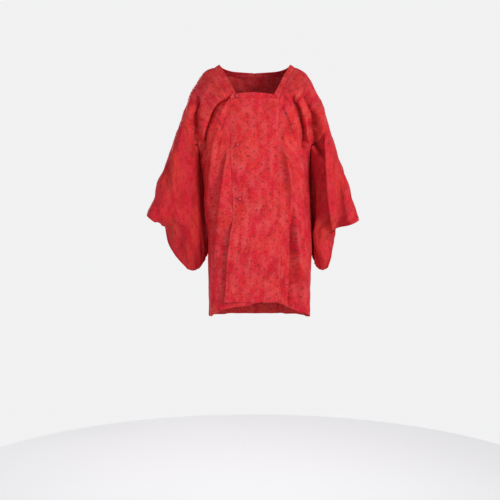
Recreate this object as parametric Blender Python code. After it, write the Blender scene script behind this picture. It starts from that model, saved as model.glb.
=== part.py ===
"""Michiyuki coat in its worn form: body panels, overlap panels, sleeves, a collar frame and buttons.

Metres, +Z up, the front faces -Y, the wearer's left is +X. The origin is between the two sides of the neck.
"""
import math

import bpy
import numpy as np
from mathutils import Vector

# Sizes
WALL = 0.0015
SEAM_GAP = 0.0003
LAYER = 0.0042
BUTTON_RADIUS = 0.0070
BUTTON_HEIGHT = 0.0040
BUTTON_LIFT = 0.0006
ARMHOLE_END = 0.28
CUFF_SHARE = 0.47
SWAY = 0.012
SWAY_TOP = -0.27
SWAY_SPAN = 0.30
LEFT_DRAW = 0.006
TOP_ROUNDING = 0.13
FOOT_ROUNDING = 0.05
OVERLAP_GAP = SEAM_GAP / 0.14
COLLAR_GAP = SEAM_GAP / 0.016
STEP = 1e-4
SHARP_ANGLE = math.radians(50.0)

# Body sections, from the front hem (-1) over the shoulder (0) to the back hem (1): the inner edge,
# the corner that the section bends towards, and the outer edge, for the wearer's left.
# station, inner x, y, z, corner x, y, z, outer x, y, z
BODY_SECTIONS = (
    (-1.000, 0.0580, -0.1370, -0.7450, 0.1660, -0.1350, -0.7750, 0.1600, -0.0002, -0.8030),
    (-0.780, 0.0660, -0.1340, -0.6200, 0.1700, -0.1340, -0.6350, 0.1640, -0.0002, -0.6500),
    (-0.600, 0.0620, -0.1320, -0.4900, 0.1740, -0.1330, -0.5000, 0.1680, -0.0002, -0.5100),
    (-0.430, 0.0650, -0.1290, -0.3600, 0.1780, -0.1300, -0.3600, 0.1720, -0.0002, -0.3750),
    (-0.350, 0.0690, -0.1265, -0.3000, 0.1790, -0.1290, -0.3000, 0.1725, -0.0230, -0.3200),
    (-0.280, 0.0710, -0.1240, -0.2450, 0.1820, -0.1280, -0.2400, 0.1760, -0.0550, -0.2680),
    (-0.200, 0.0725, -0.1190, -0.1700, 0.1860, -0.1320, -0.1650, 0.2060, -0.0800, -0.2430),
    (-0.145, 0.0735, -0.1125, -0.1170, 0.1880, -0.1240, -0.1070, 0.2240, -0.0780, -0.2120),
    (-0.060, 0.1035, -0.0640, -0.0510, 0.1880, -0.0700, -0.0400, 0.2310, -0.0420, -0.1750),
    (0.000, 0.1290, 0.0000, -0.0095, 0.1860, 0.0000, -0.0170, 0.2280, 0.0000, -0.1580),
    (0.040, 0.1210, 0.0500, -0.0140, 0.1870, 0.0520, -0.0250, 0.2300, 0.0300, -0.1670),
    (0.080, 0.0800, 0.0950, -0.0230, 0.1840, 0.0980, -0.0400, 0.2300, 0.0550, -0.1840),
    (0.115, 0.0002, 0.1050, -0.0290, 0.1800, 0.1230, -0.0640, 0.2260, 0.0720, -0.2040),
    (0.200, 0.0002, 0.1180, -0.1150, 0.1820, 0.1380, -0.1500, 0.2060, 0.0800, -0.2430),
    (0.280, 0.0002, 0.1250, -0.2120, 0.1820, 0.1360, -0.2350, 0.1760, 0.0550, -0.2680),
    (0.350, 0.0002, 0.1265, -0.2950, 0.1790, 0.1340, -0.3050, 0.1725, 0.0230, -0.3200),
    (0.430, 0.0002, 0.1260, -0.3700, 0.1780, 0.1320, -0.3700, 0.1720, 0.0002, -0.3750),
    (0.600, 0.0002, 0.1240, -0.5100, 0.1740, 0.1300, -0.5100, 0.1680, 0.0002, -0.5100),
    (0.780, 0.0002, 0.1250, -0.6500, 0.1700, 0.1300, -0.6500, 0.1640, 0.0002, -0.6500),
    (1.000, 0.0002, 0.1280, -0.8080, 0.1660, 0.1310, -0.8080, 0.1600, 0.0002, -0.8030),
)
BODY_STEPS = (4, 3, 3, 1, 2, 4, 3, 4, 3, 2, 2, 2, 2, 2, 1, 2, 2, 2, 3)
BODY_COLUMNS = 20

# Chest under the overlap panels: height, half width, depth in front of the neck
CHEST_SECTIONS = (
    (-0.830, 0.182, 0.1330),
    (-0.620, 0.182, 0.1310),
    (-0.490, 0.184, 0.1300),
    (-0.360, 0.188, 0.1290),
    (-0.245, 0.194, 0.1250),
    (-0.170, 0.200, 0.1205),
    (-0.117, 0.205, 0.1140),
    (-0.060, 0.205, 0.1000),
)
CHEST_POWER = 3.2

# Free edges of the overlap panels: station of the body sections, x of the outer one, x of the under one
OVERLAP_EDGES = (
    (-1.000, -0.1060, 0.0560),
    (-0.900, -0.1015, 0.0560),
    (-0.780, -0.0970, 0.0560),
    (-0.670, -0.0880, 0.0550),
    (-0.600, -0.0800, 0.0540),
    (-0.490, -0.0750, 0.0550),
    (-0.350, -0.0745, 0.0570),
    (-0.200, -0.0765, 0.0600),
    (-0.145, -0.0755, 0.0600),
)
OVERLAP_TOP = -0.145
OVERLAP_COLUMNS = 8
OVERLAP_ARCH = 0.0010
# Neck edge of the collar frame, at the body's stations: x, y, z, with the wearer's left in +X
NECK_EDGE = (
    (-0.145, 0.0580, -0.1105, -0.1055),
    (-0.060, 0.0900, -0.0600, -0.0430),
    (0.000, 0.1140, 0.0000, 0.0000),
    (0.040, 0.1070, 0.0430, -0.0035),
    (0.080, 0.0720, 0.0830, -0.0110),
    (0.115, 0.0002, 0.0970, -0.0150),
)
BACK_NECK = 0.115
COLLAR_COLUMNS = 3
FRONT_BAND_FREE = (-0.0720, 0.0540)
FRONT_BAND_ARCH = 0.0060
RIGHT_HEM_DROP = 0.013

# Sleeves: share of the drop from the arm line, then the loop's middle x, y, z and half depth at the
# armhole edge, half way and at the wrist edge. The armhole loop is the body's outer edge down to its end.
SLEEVE_RIGHT = (
    (0.00, 0.226, 0.000, -0.156, 0.040, 0.283, -0.010, -0.315, 0.070, 0.3330, -0.030, -0.474, 0.0700),
    (0.12, 0.226, 0.000, -0.180, 0.060, 0.276, -0.012, -0.336, 0.092, 0.3250, -0.032, -0.483, 0.0930),
    (0.25, 0.216, 0.000, -0.220, 0.070, 0.261, -0.014, -0.383, 0.105, 0.3080, -0.034, -0.499, 0.1000),
    (0.47, 0.1765, 0.000, -0.269, 0.055, 0.238, -0.016, -0.470, 0.098, 0.2860, -0.036, -0.523, 0.0040),
    (0.50, 0.180, 0.001, -0.285, 0.052, 0.235, -0.016, -0.480, 0.094, 0.2845, -0.036, -0.529, 0.0019),
    (0.65, 0.1745, 0.022, -0.360, 0.045, 0.220, -0.011, -0.530, 0.072, 0.2770, -0.035, -0.561, 0.0019),
    (0.82, 0.168, 0.027, -0.480, 0.034, 0.203, -0.004, -0.588, 0.044, 0.2560, -0.032, -0.602, 0.0019),
    (1.00, 0.164, 0.022, -0.600, 0.016, 0.185, 0.006, -0.648, 0.020, 0.2140, -0.026, -0.650, 0.0019),
)
SLEEVE_LEFT = (
    (0.00, 0.228, 0.000, -0.158, 0.040, 0.276, -0.010, -0.323, 0.070, 0.325, -0.030, -0.487, 0.0700),
    (0.12, 0.226, 0.000, -0.182, 0.060, 0.268, -0.012, -0.344, 0.092, 0.316, -0.032, -0.495, 0.0930),
    (0.25, 0.217, 0.000, -0.220, 0.070, 0.260, -0.014, -0.389, 0.105, 0.297, -0.034, -0.505, 0.1000),
    (0.47, 0.1765, 0.000, -0.269, 0.055, 0.242, -0.016, -0.470, 0.098, 0.246, -0.036, -0.524, 0.0040),
    (0.50, 0.1805, 0.001, -0.285, 0.052, 0.238, -0.016, -0.480, 0.094, 0.245, -0.036, -0.530, 0.0019),
    (0.65, 0.180, 0.022, -0.360, 0.045, 0.226, -0.011, -0.530, 0.070, 0.246, -0.035, -0.566, 0.0019),
    (0.82, 0.187, 0.027, -0.480, 0.034, 0.216, -0.004, -0.588, 0.042, 0.247, -0.032, -0.604, 0.0019),
    (1.00, 0.191, 0.022, -0.610, 0.016, 0.208, 0.006, -0.650, 0.018, 0.232, -0.026, -0.645, 0.0019),
)
SLEEVE_THIN = 0.0019
ARMHOLE_EASE = 0.0024
SLEEVE_ROWS = 16
SLEEVE_BAG_STEPS = 11

# Folds in the front, seen from the front: from x, z, by way of x, z, to x, z, then the half width, the
# height (a ridge is positive, a trough negative), and the share of the length that each end fades over.
FRONT_FOLDS_LEFT = (
    (0.095, -0.140, 0.120, -0.330, 0.150, -0.800, 0.0140, 0.0070, 0.25, 0.05),
    (0.105, -0.330, 0.118, -0.500, 0.108, -0.760, 0.0120, -0.0050, 0.40, 0.05),
)
FRONT_FOLDS_RIGHT = (
    (-0.085, -0.130, -0.130, -0.330, -0.120, -0.790, 0.0150, 0.0060, 0.25, 0.05),
    (-0.110, -0.550, -0.125, -0.640, -0.128, -0.800, 0.0110, -0.0050, 0.40, 0.05),
)
BACK_FOLDS = (
    (0.060, -0.300, 0.068, -0.520, 0.085, -0.810, 0.0190, 0.0070, 0.35, 0.05),
    (-0.052, -0.260, -0.070, -0.500, -0.078, -0.810, 0.0180, 0.0065, 0.35, 0.05),
    (0.120, -0.330, 0.128, -0.520, 0.130, -0.810, 0.0150, 0.0060, 0.40, 0.05),
    (-0.118, -0.300, -0.126, -0.500, -0.134, -0.810, 0.0150, 0.0065, 0.40, 0.05),
)
SLEEVE_FRONT_FOLDS = (
    (-0.235, -0.225, -0.255, -0.360, -0.284, -0.510, 0.0150, 0.0070, 0.30, 0.05),
    (-0.285, -0.330, -0.306, -0.410, -0.316, -0.490, 0.0150, 0.0050, 0.30, 0.05),
    (0.214, -0.215, 0.226, -0.400, 0.238, -0.530, 0.0130, 0.0085, 0.30, 0.05),
    (0.262, -0.310, 0.285, -0.410, 0.296, -0.500, 0.0160, 0.0055, 0.30, 0.05),
)
SLEEVE_BACK_FOLDS = (
    (-0.225, -0.240, -0.245, -0.400, -0.262, -0.540, 0.0150, 0.0070, 0.30, 0.10),
    (0.222, -0.230, 0.236, -0.400, 0.244, -0.540, 0.0150, 0.0070, 0.30, 0.10),
)
# The lip where the slack of each shoulder hangs over the front of the body
# from x, z, by way of x, z, to x, z, then roll width, roll height, tuck width, tuck depth
LIP_LEFT = (0.074, -0.105, 0.152, -0.098, 0.176, -0.268, 0.0230, 0.0105, 0.0230, 0.0085)
LIP_RIGHT = (-0.068, -0.105, -0.134, -0.100, -0.176, -0.268, 0.0240, 0.0095, 0.0240, 0.0075)
LIP_SLOPE = 0.032

# Buttons: share across and station of the panel that each one is sewn to, or of the collar's front band
BUTTONS = (
    ("button_top", 0.126, 0.42),
    ("button_mid", 0.146, -0.2985),
    ("button_low", 0.160, -0.5160),
)
BUTTON_AROUND = 16
BUTTON_RINGS = 4

SILK_RED = (0.48, 0.028, 0.040, 1.0)
SILK_ROUGHNESS = 0.55


def clear_scene():
    for item in list(bpy.data.objects):
        bpy.data.objects.remove(item, do_unlink=True)


def material(name, colour, roughness):
    made = bpy.data.materials.new(name)
    made.use_nodes = True
    shader = made.node_tree.nodes["Principled BSDF"]
    shader.inputs["Base Color"].default_value = colour
    shader.inputs["Roughness"].default_value = roughness
    shader.inputs["Metallic"].default_value = 0.0
    return made


def smooth(at, places, values):
    """Values between the places, by a curve that never overshoots them."""
    gaps = np.diff(places)
    rises = np.diff(values) / gaps
    slopes = np.zeros(len(places))
    slopes[0] = rises[0]
    slopes[-1] = rises[-1]
    for k in range(1, len(places) - 1):
        if rises[k - 1] * rises[k] > 0.0:
            near = 2.0 * gaps[k] + gaps[k - 1]
            far = gaps[k] + 2.0 * gaps[k - 1]
            slopes[k] = (near + far) / (near / rises[k - 1] + far / rises[k])
    at = np.clip(at, places[0], places[-1])
    k = np.clip(np.searchsorted(places, at, side="right") - 1, 0, len(gaps) - 1)
    share = (at - places[k]) / gaps[k]
    back = 1.0 - share
    ends = values[k] * back * back * (1.0 + 2.0 * share) + values[k + 1] * share * share * (3.0 - 2.0 * share)
    bends = gaps[k] * share * back * (slopes[k] * back - slopes[k + 1] * share)
    return ends + bends


def columns(table, at, first, count):
    """The named columns of a section table at the stations asked for."""
    rows = np.array(table)
    return np.stack([smooth(at, rows[:, 0], rows[:, first + k]) for k in range(count)], axis=-1)


def ease(share):
    share = np.clip(share, 0.0, 1.0)
    return share * share * (3.0 - 2.0 * share)


def swayed(points):
    """The lower body hangs a little towards the wearer's left, and the left shoulder is drawn in a little."""
    moved = points.copy()
    moved[..., 0] += SWAY * ease((SWAY_TOP - points[..., 2]) / SWAY_SPAN)
    moved[..., 0] -= LEFT_DRAW * ease((points[..., 0] - 0.08) / 0.12) * ease((points[..., 2] + 0.30) / 0.10)
    return moved


def path_points(row, count=32):
    share = np.linspace(0.0, 1.0, count)[:, None]
    start, via, end = np.array(row[0:2]), np.array(row[2:4]), np.array(row[4:6])
    return start * (1 - share) ** 2 + 2 * via * share * (1 - share) + end * share ** 2


def beside_path(points, row):
    """Distance of each point to the side of a fold's path, and its share of the path's length."""
    path = path_points(row)
    flat = points[..., [0, 2]].reshape(-1, 2)
    starts, runs = path[:-1], np.diff(path, axis=0)
    size = (runs ** 2).sum(1)
    offset = flat[:, None, :] - starts[None, :, :]
    share = np.clip((offset * runs).sum(2) / size, 0.0, 1.0)
    gap = offset - share[..., None] * runs
    apart = np.hypot(gap[..., 0], gap[..., 1])
    best = apart.argmin(1)
    pick = np.arange(len(flat))
    side = np.sign(runs[best, 0] * gap[pick, best, 1] - runs[best, 1] * gap[pick, best, 0])
    along = (best + share[pick, best]) / len(runs)
    shape = points.shape[:-1]
    return (side * apart[pick, best]).reshape(shape), along.reshape(shape)


def fold_height(points, folds):
    total = np.zeros(points.shape[:-1])
    for row in folds:
        width, height, fade_in, fade_out = row[6:10]
        aside, along = beside_path(points, row)
        fade = ease(along / fade_in) * ease((1.0 - along) / fade_out + 0.35)
        total += height * fade * np.exp(-((aside / width) ** 2))
    return total


def lip_height(points, row, inner_side):
    """A roll on the shoulder's side of the lip, and a tuck under it on the body's side."""
    roll_width, roll, tuck_width, tuck = row[6:10]
    aside, along = beside_path(points, row)
    inward = -aside * inner_side
    fade = ease(along / 0.36 + 0.05) * ease((1.0 - along) / 0.12)
    rolled = roll * np.exp(-((np.minimum(inward, 0.0) / roll_width) ** 2)) * ease(0.5 - inward / LIP_SLOPE)
    tucked = tuck * np.exp(-((np.maximum(inward, 0.0) / tuck_width) ** 2)) * ease(0.5 + inward / LIP_SLOPE)
    return fade * (rolled - tucked)


def facing(surface, across, along, span=1.0):
    """Unit normals of a surface, from its own neighbouring points."""
    low_a, high_a = np.clip(across - STEP, 0.0, 1.0), np.clip(across + STEP, 0.0, 1.0)
    low_b, high_b = np.clip(along - STEP, -span, 1.0), np.clip(along + STEP, -span, 1.0)
    side = surface(high_a, along) - surface(low_a, along)
    run = surface(across, high_b) - surface(across, low_b)
    normal = np.cross(side, run)
    return normal / np.maximum(np.linalg.norm(normal, axis=-1, keepdims=True), 1e-12)


def chest(x, z):
    rows = np.array(CHEST_SECTIONS)
    half = smooth(z, rows[:, 0], rows[:, 1])
    depth = smooth(z, rows[:, 0], rows[:, 2])
    return -depth * (1.0 - np.abs(x / half) ** CHEST_POWER) ** (1.0 / CHEST_POWER)


def chest_slope(x, z):
    return (chest(x + STEP, z) - chest(x - STEP, z)) / (2 * STEP)


def inner_edge_start():
    """How far the chest is from the section table where the collar frame begins."""
    corner = columns(BODY_SECTIONS, np.array([OVERLAP_TOP]), 1, 3)
    return chest(corner[:, 0], corner[:, 2]) - corner[:, 1]


def lifted(points, side, along, share):
    """The wearer's left front lies over the right."""
    points[..., 1] -= (side > 0) * LAYER * ease(along / OVERLAP_TOP) * share
    return points


def inner_edge(side, along):
    """The panel's edge at the neck, the overlap seam or the centre back, with the wearer's left in +X."""
    inner = columns(BODY_SECTIONS, along, 1, 3)
    inner[..., 2] -= (side < 0) * RIGHT_HEM_DROP * ease((-along - 0.80) / 0.20)
    start = inner_edge_start()
    above = inner[..., 1] + start * ease(1.0 - (along - OVERLAP_TOP) / 0.06)
    inner[..., 1] = np.where(along <= OVERLAP_TOP, chest(inner[..., 0], inner[..., 2]), above)
    return inner


def body_form(side):
    """The panel of one side without its folds: across from the inner edge, along from the front hem."""

    def form(across, along):
        inner = inner_edge(side, along)
        corner = columns(BODY_SECTIONS, along, 4, 3)
        outer = columns(BODY_SECTIONS, along, 7, 3)
        slope = inner[..., 1] + chest_slope(inner[..., 0], inner[..., 2]) * (corner[..., 0] - inner[..., 0])
        corner[..., 1] += (slope - corner[..., 1]) * ease((OVERLAP_TOP - along) / 0.05)
        share = across[..., None]
        points = inner * (1 - share) ** 2 + 2 * corner * share * (1 - share) + outer * share ** 2
        points = lifted(points, side, along, ease(1.0 - (across - 0.1) / 0.6))
        points[..., 0] *= side
        return swayed(points)

    return form


def body_panel(side):
    form = body_form(side)
    folds = FRONT_FOLDS_LEFT if side > 0 else FRONT_FOLDS_RIGHT
    lip = LIP_LEFT if side > 0 else LIP_RIGHT

    def panel(across, along):
        points = form(across, along)
        normal = facing(form, across, along) * side
        front = ease(-along / 0.10)
        back = ease(along / 0.20)
        edges = ease(across / 0.12) * ease((1.0 - across) / 0.15)
        height = front * (fold_height(points, folds) + lip_height(points, lip, side))
        height = height + back * fold_height(points, BACK_FOLDS)
        return points + normal * (height * edges)[..., None]

    return panel


def overlap_panel(side):
    """The panel that closes the front: across from right to left, along in the body's stations."""

    def panel(across, along):
        seam = inner_edge(side, along)
        edges = np.array(OVERLAP_EDGES)
        free = smooth(along, edges[:, 0], edges[:, 1 if side > 0 else 2])
        arch = OVERLAP_ARCH * ease((along + 0.20) / 0.055) * np.sin(math.pi * across)
        if side > 0:
            x = free + across * (seam[..., 0] - free)
            z = seam[..., 2] + arch
            lift = LAYER
        else:
            x = -seam[..., 0] + across * (free + seam[..., 0])
            z = seam[..., 2] + RIGHT_HEM_DROP * ease((-along - 0.80) / 0.20) * across + arch
            lift = 0.0
        return swayed(np.stack([x, chest(x, z) - lift, z], axis=-1))

    return panel


def solid(name, points, faces, skin):
    """A named object of the points and faces, with its faces turned outwards."""
    volume = 0.0
    for face in faces:
        for k in range(1, len(face) - 1):
            volume += float(np.dot(points[face[0]], np.cross(points[face[k]], points[face[k + 1]])))
    if volume < 0.0:
        faces = [tuple(reversed(face)) for face in faces]
    mesh = bpy.data.meshes.new(name)
    mesh.from_pydata(points.tolist(), [], faces)
    mesh.polygons.foreach_set("use_smooth", [True] * len(faces))
    mesh.materials.append(skin)
    mesh.set_sharp_from_angle(angle=SHARP_ANGLE)
    made = bpy.data.objects.new(name, mesh)
    bpy.context.collection.objects.link(made)
    return made


def shell(name, outer, normal, wall, skin, around=False):
    """A closed wall: the outer points, the same points moved in by the wall, and the rims between them."""
    rows, count = outer.shape[:2]
    inner = outer - normal * wall
    points = np.concatenate([outer.reshape(-1, 3), inner.reshape(-1, 3)])
    under = rows * count
    faces = []
    last = count if around else count - 1
    for r in range(rows - 1):
        for c in range(last):
            a, b = r * count + c, r * count + (c + 1) % count
            d, e = a + count, b + count
            faces.append((a, b, e, d))
            faces.append((under + a, under + d, under + e, under + b))
    for c in range(last):
        a, b = c, (c + 1) % count
        faces.append((a, under + a, under + b, b))
        a, b = (rows - 1) * count + a, (rows - 1) * count + b
        faces.append((a, b, under + b, under + a))
    if not around:
        for r in range(rows - 1):
            a, d = r * count, (r + 1) * count
            faces.append((a, d, under + d, under + a))
            a, d = a + count - 1, d + count - 1
            faces.append((a, under + a, under + d, d))
    return solid(name, points, faces, skin)


def body_stations():
    places = [row[0] for row in BODY_SECTIONS]
    stations = [places[0]]
    for k, steps in enumerate(BODY_STEPS):
        stations += list(np.linspace(places[k], places[k + 1], steps + 1)[1:])
    return np.array(stations)


def make_body(name, side, skin):
    along, across = np.meshgrid(body_stations(), np.linspace(0.0, 1.0, BODY_COLUMNS + 1), indexing="ij")
    panel = body_panel(side)
    outer = panel(across, along)
    normal = facing(panel, across, along) * side
    return shell(name, outer, normal, WALL, skin)


def collar_side(side):
    """The band from the front corner to the back: across from the neck, along the body's stations."""

    def band(across, along):
        along = np.clip(along, OVERLAP_TOP, BACK_NECK)
        neck = columns(NECK_EDGE, along, 1, 3)
        step = chest(neck[..., 0], neck[..., 2]) - neck[..., 1]
        neck[..., 1] += step * ease(1.0 - (along - OVERLAP_TOP) / 0.03)
        seam = inner_edge(side, along)
        points = neck + across[..., None] * (seam - neck)
        points = lifted(points, side, along, 1.0)
        points[..., 0] *= side
        return swayed(points)

    return band


def make_collar_side(name, side, skin):
    stations = body_stations()
    stations = stations[(stations >= OVERLAP_TOP - STEP) & (stations <= BACK_NECK + STEP)]
    places = np.linspace(0.0, 1.0 - COLLAR_GAP, COLLAR_COLUMNS + 1)
    along, across = np.meshgrid(stations, places, indexing="ij")
    band = collar_side(side)
    normal = facing(band, across, along) * side
    none = np.zeros_like(stations)
    normal[:, -1] = facing(body_panel(side), none, stations) * side
    front = collar_front(side)
    mitre = np.full(COLLAR_COLUMNS + 1, 1.0 if side > 0 else 0.0)
    normal[0] = facing(front, mitre, 1.0 - across[0])
    normal[-1, :, 0] = 0.0
    normal = normal / np.linalg.norm(normal, axis=-1, keepdims=True)
    points = band(across, along)
    return shell(name, points, normal, WALL, skin)


def collar_front(side):
    """The band on top of an overlap panel: across in the panel's own measure, along up to the neck."""
    panel = overlap_panel(side)
    corner = np.array(NECK_EDGE[0][1:])

    def band(across, along):
        low = panel(across, np.full_like(across, OVERLAP_TOP))
        free = FRONT_BAND_FREE[0] if side > 0 else FRONT_BAND_FREE[1]
        ends = (free, corner[0]) if side > 0 else (-corner[0], free)
        high_x = ends[0] + across * (ends[1] - ends[0])
        high_z = corner[2] + FRONT_BAND_ARCH * np.sin(math.pi * across)
        x = low[..., 0] + along * (high_x - low[..., 0])
        z = low[..., 2] + along * (high_z - low[..., 2])
        return np.stack([x, chest(x, z) - LAYER * (side > 0), z], axis=-1)

    return band


def make_collar_front(name, side, skin):
    ends = (0.0, 1.0 - 2 * OVERLAP_GAP) if side > 0 else (2 * OVERLAP_GAP, 1.0)
    along, across = np.meshgrid(
        np.linspace(COLLAR_GAP, 1.0, COLLAR_COLUMNS + 1),
        np.linspace(*ends, OVERLAP_COLUMNS + 1),
        indexing="ij",
    )
    band = collar_front(side)
    return shell(name, band(across, along), facing(band, across, along), WALL, skin)


def make_overlap(name, side, skin):
    stations = body_stations()
    stations = stations[stations <= OVERLAP_TOP + STEP]
    ends = (0.0, 1.0 - OVERLAP_GAP) if side > 0 else (OVERLAP_GAP, 1.0)
    along, across = np.meshgrid(stations, np.linspace(*ends, OVERLAP_COLUMNS + 1), indexing="ij")
    panel = overlap_panel(side)
    return shell(name, panel(across, along), facing(panel, across, along), WALL, skin)


def sleeve_surface(table, side):
    """The sleeve's outside: along the arm from the armhole, around from the arm line by the front."""
    form = body_form(side)

    def blend(first, drop, shares):
        parts = [columns(table, drop, first + 4 * k, 4) * shares[k][..., None] for k in range(3)]
        return parts[0] + parts[1] + parts[2]

    def surface(length, around):
        drop = 1.0 - np.abs(1.0 - 2.0 * around)
        front = np.where(around < 0.5, -1.0, 1.0)
        places = (2 * (length - 0.5) * (length - 1), -4 * length * (length - 1), 2 * length * (length - 0.5))
        runs = (4 * length - 3, 4 - 8 * length, 4 * length - 1)
        start = (np.ones_like(length), np.zeros_like(length), np.zeros_like(length))
        top = np.sqrt(1.0 - (1.0 - np.clip(drop / TOP_ROUNDING, 0.0, 1.0)) ** 2)
        foot = np.sqrt(1.0 - np.clip((drop - 1.0 + FOOT_ROUNDING) / FOOT_ROUNDING, 0.0, 1.0) ** 2)
        least = np.where(np.abs(drop - 0.5) < 0.5 - STEP, SLEEVE_THIN, 0.0)
        middle = blend(1, drop, places)
        run = blend(1, drop, runs)
        turn = np.arctan2(run[..., 1], np.maximum(run[..., 0], 1e-4))
        turn = turn * 0.8 * ease((drop - CUFF_SHARE + 0.05) / 0.30)
        turn = turn * ease(length / 0.6)
        half = np.maximum(middle[..., 3] * top * foot, least) * front
        points = middle[..., :3].copy()
        points[..., 0] -= half * np.sin(turn)
        points[..., 1] += half * np.cos(turn)
        edge = blend(1, drop, start)
        station = ARMHOLE_END * front * np.clip(drop / CUFF_SHARE, 0.0, 1.0)
        seam = form(np.ones_like(station), station)
        seam[..., 0] *= side
        seam[..., 0] += ARMHOLE_EASE * ease((drop - CUFF_SHARE + 0.12) / 0.12)
        edge_points = edge[..., :3].copy()
        edge_points[..., 1] += np.maximum(edge[..., 3] * top * foot, least) * front
        sewn = ease((CUFF_SHARE + 0.03 - drop) / 0.03) * (1.0 - length) ** 2
        points = points + (seam - edge_points) * sewn[..., None]
        points[..., 0] *= side
        folds = (fold_height(points, SLEEVE_FRONT_FOLDS), fold_height(points, SLEEVE_BACK_FOLDS))
        fade = ease(length / 0.20) * ease(drop / 0.15) * ease((1.0 - drop) / 0.12)
        points[..., 1] += front * fade * np.where(front < 0.0, folds[0], folds[1])
        return points

    return surface


def sleeve_places():
    """Where the sleeve's loop is cut: at the body's stations down to the armhole's end, then down the bag."""
    stations = body_stations()
    front = -stations[(stations < -STEP) & (stations >= -ARMHOLE_END - STEP)][::-1] / ARMHOLE_END
    back = stations[(stations > STEP) & (stations <= ARMHOLE_END + STEP)] / ARMHOLE_END
    share = np.linspace(0.0, 1.0, SLEEVE_BAG_STEPS + 1)[1:-1]
    bag = CUFF_SHARE + (1.0 - CUFF_SHARE) * (0.6 * share + 0.4 * np.sin(0.5 * math.pi * share))
    down = np.concatenate([[0.0], front * CUFF_SHARE, bag, [1.0]])
    up = np.concatenate([bag[::-1], back[::-1] * CUFF_SHARE])
    return np.concatenate([down * 0.5, 1.0 - up * 0.5])


def make_sleeve(name, table, side, skin):
    length, around = np.meshgrid(
        np.linspace(SEAM_GAP / 0.26, 1.0, SLEEVE_ROWS + 1),
        sleeve_places(),
        indexing="ij",
    )
    surface = sleeve_surface(table, side)
    outer = surface(length, around)
    across = surface(np.minimum(length + STEP, 1.0), around) - surface(np.maximum(length - STEP, 0.0), around)
    along = surface(length, (around + STEP) % 1.0) - surface(length, (around - STEP) % 1.0)
    normal = np.cross(across, along)
    normal = normal / np.maximum(np.linalg.norm(normal, axis=-1, keepdims=True), 1e-12)
    return shell(name, outer, normal * side, WALL, skin, around=True)


def make_button(name, across, along, skin):
    surface = collar_front(1) if name == "button_top" else overlap_panel(1)
    place = surface(np.array([across]), np.array([along]))[0]
    normal = facing(surface, np.array([across]), np.array([along]))[0]
    rings = [(BUTTON_RADIUS * 0.96, 0.0)]
    for k in range(BUTTON_RINGS):
        turn = 0.5 * math.pi * k / BUTTON_RINGS
        rings.append((BUTTON_RADIUS * math.cos(turn), 0.0012 + (BUTTON_HEIGHT - 0.0012) * math.sin(turn)))
    points = [(0.0, 0.0, 0.0)]
    for radius, height in rings:
        for k in range(BUTTON_AROUND):
            turn = 2 * math.pi * k / BUTTON_AROUND
            points.append((radius * math.cos(turn), -height, radius * math.sin(turn)))
    points.append((0.0, -BUTTON_HEIGHT, 0.0))
    faces = []
    n = BUTTON_AROUND
    for k in range(n):
        follow = (k + 1) % n
        faces.append((0, 1 + k, 1 + follow))
        for ring in range(len(rings) - 1):
            a, b = 1 + ring * n + k, 1 + ring * n + follow
            faces.append((a, a + n, b + n, b))
        top = 1 + (len(rings) - 1) * n
        faces.append((top + k, len(points) - 1, top + follow))
    made = solid(name, np.array(points), faces, skin)
    made.location = tuple(float(value) for value in place + normal * BUTTON_LIFT)
    turn = Vector((0.0, -1.0, 0.0)).rotation_difference(Vector([float(value) for value in normal]))
    made.rotation_euler = turn.to_euler()
    return made


def main():
    clear_scene()
    skin = material("red_silk", SILK_RED, SILK_ROUGHNESS)
    make_body("body_left", 1, skin)
    make_body("body_right", -1, skin)
    make_overlap("overlap_left", 1, skin)
    make_overlap("overlap_right", -1, skin)
    make_sleeve("sleeve_left", SLEEVE_LEFT, 1, skin)
    make_sleeve("sleeve_right", SLEEVE_RIGHT, -1, skin)
    make_collar_side("collar_left", 1, skin)
    make_collar_side("collar_right", -1, skin)
    make_collar_front("collar_front", 1, skin)
    make_collar_front("collar_under", -1, skin)
    for name, across, along in BUTTONS:
        make_button(name, across, along, skin)


main()
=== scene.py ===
"""Michiyuki coat in its worn form: silk panels with their folds, seams, collar frame and covered buttons.

Metres, +Z up, the front faces -Y, the wearer's left is +X. The origin is between the two sides of the neck.
"""

import functools
import math

import bpy
import numpy as np
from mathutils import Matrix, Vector


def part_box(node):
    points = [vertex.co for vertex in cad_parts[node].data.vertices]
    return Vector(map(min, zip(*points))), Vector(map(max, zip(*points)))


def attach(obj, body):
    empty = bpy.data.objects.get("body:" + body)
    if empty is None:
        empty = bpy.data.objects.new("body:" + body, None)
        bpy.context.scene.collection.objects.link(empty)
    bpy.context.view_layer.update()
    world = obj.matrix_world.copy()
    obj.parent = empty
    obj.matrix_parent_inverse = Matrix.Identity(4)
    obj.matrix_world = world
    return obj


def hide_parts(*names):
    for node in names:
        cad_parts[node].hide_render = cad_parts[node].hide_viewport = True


bl_info = {
    "name": "Michiyuki Coat",
    "version": (1, 0, 0),
    "blender": (4, 5, 0),
    "location": "View3D > Sidebar > Coat",
    "description": "Builds the silk panels, folds and buttons of a michiyuki coat in its worn form",
    "category": "Add Mesh",
}

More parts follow.
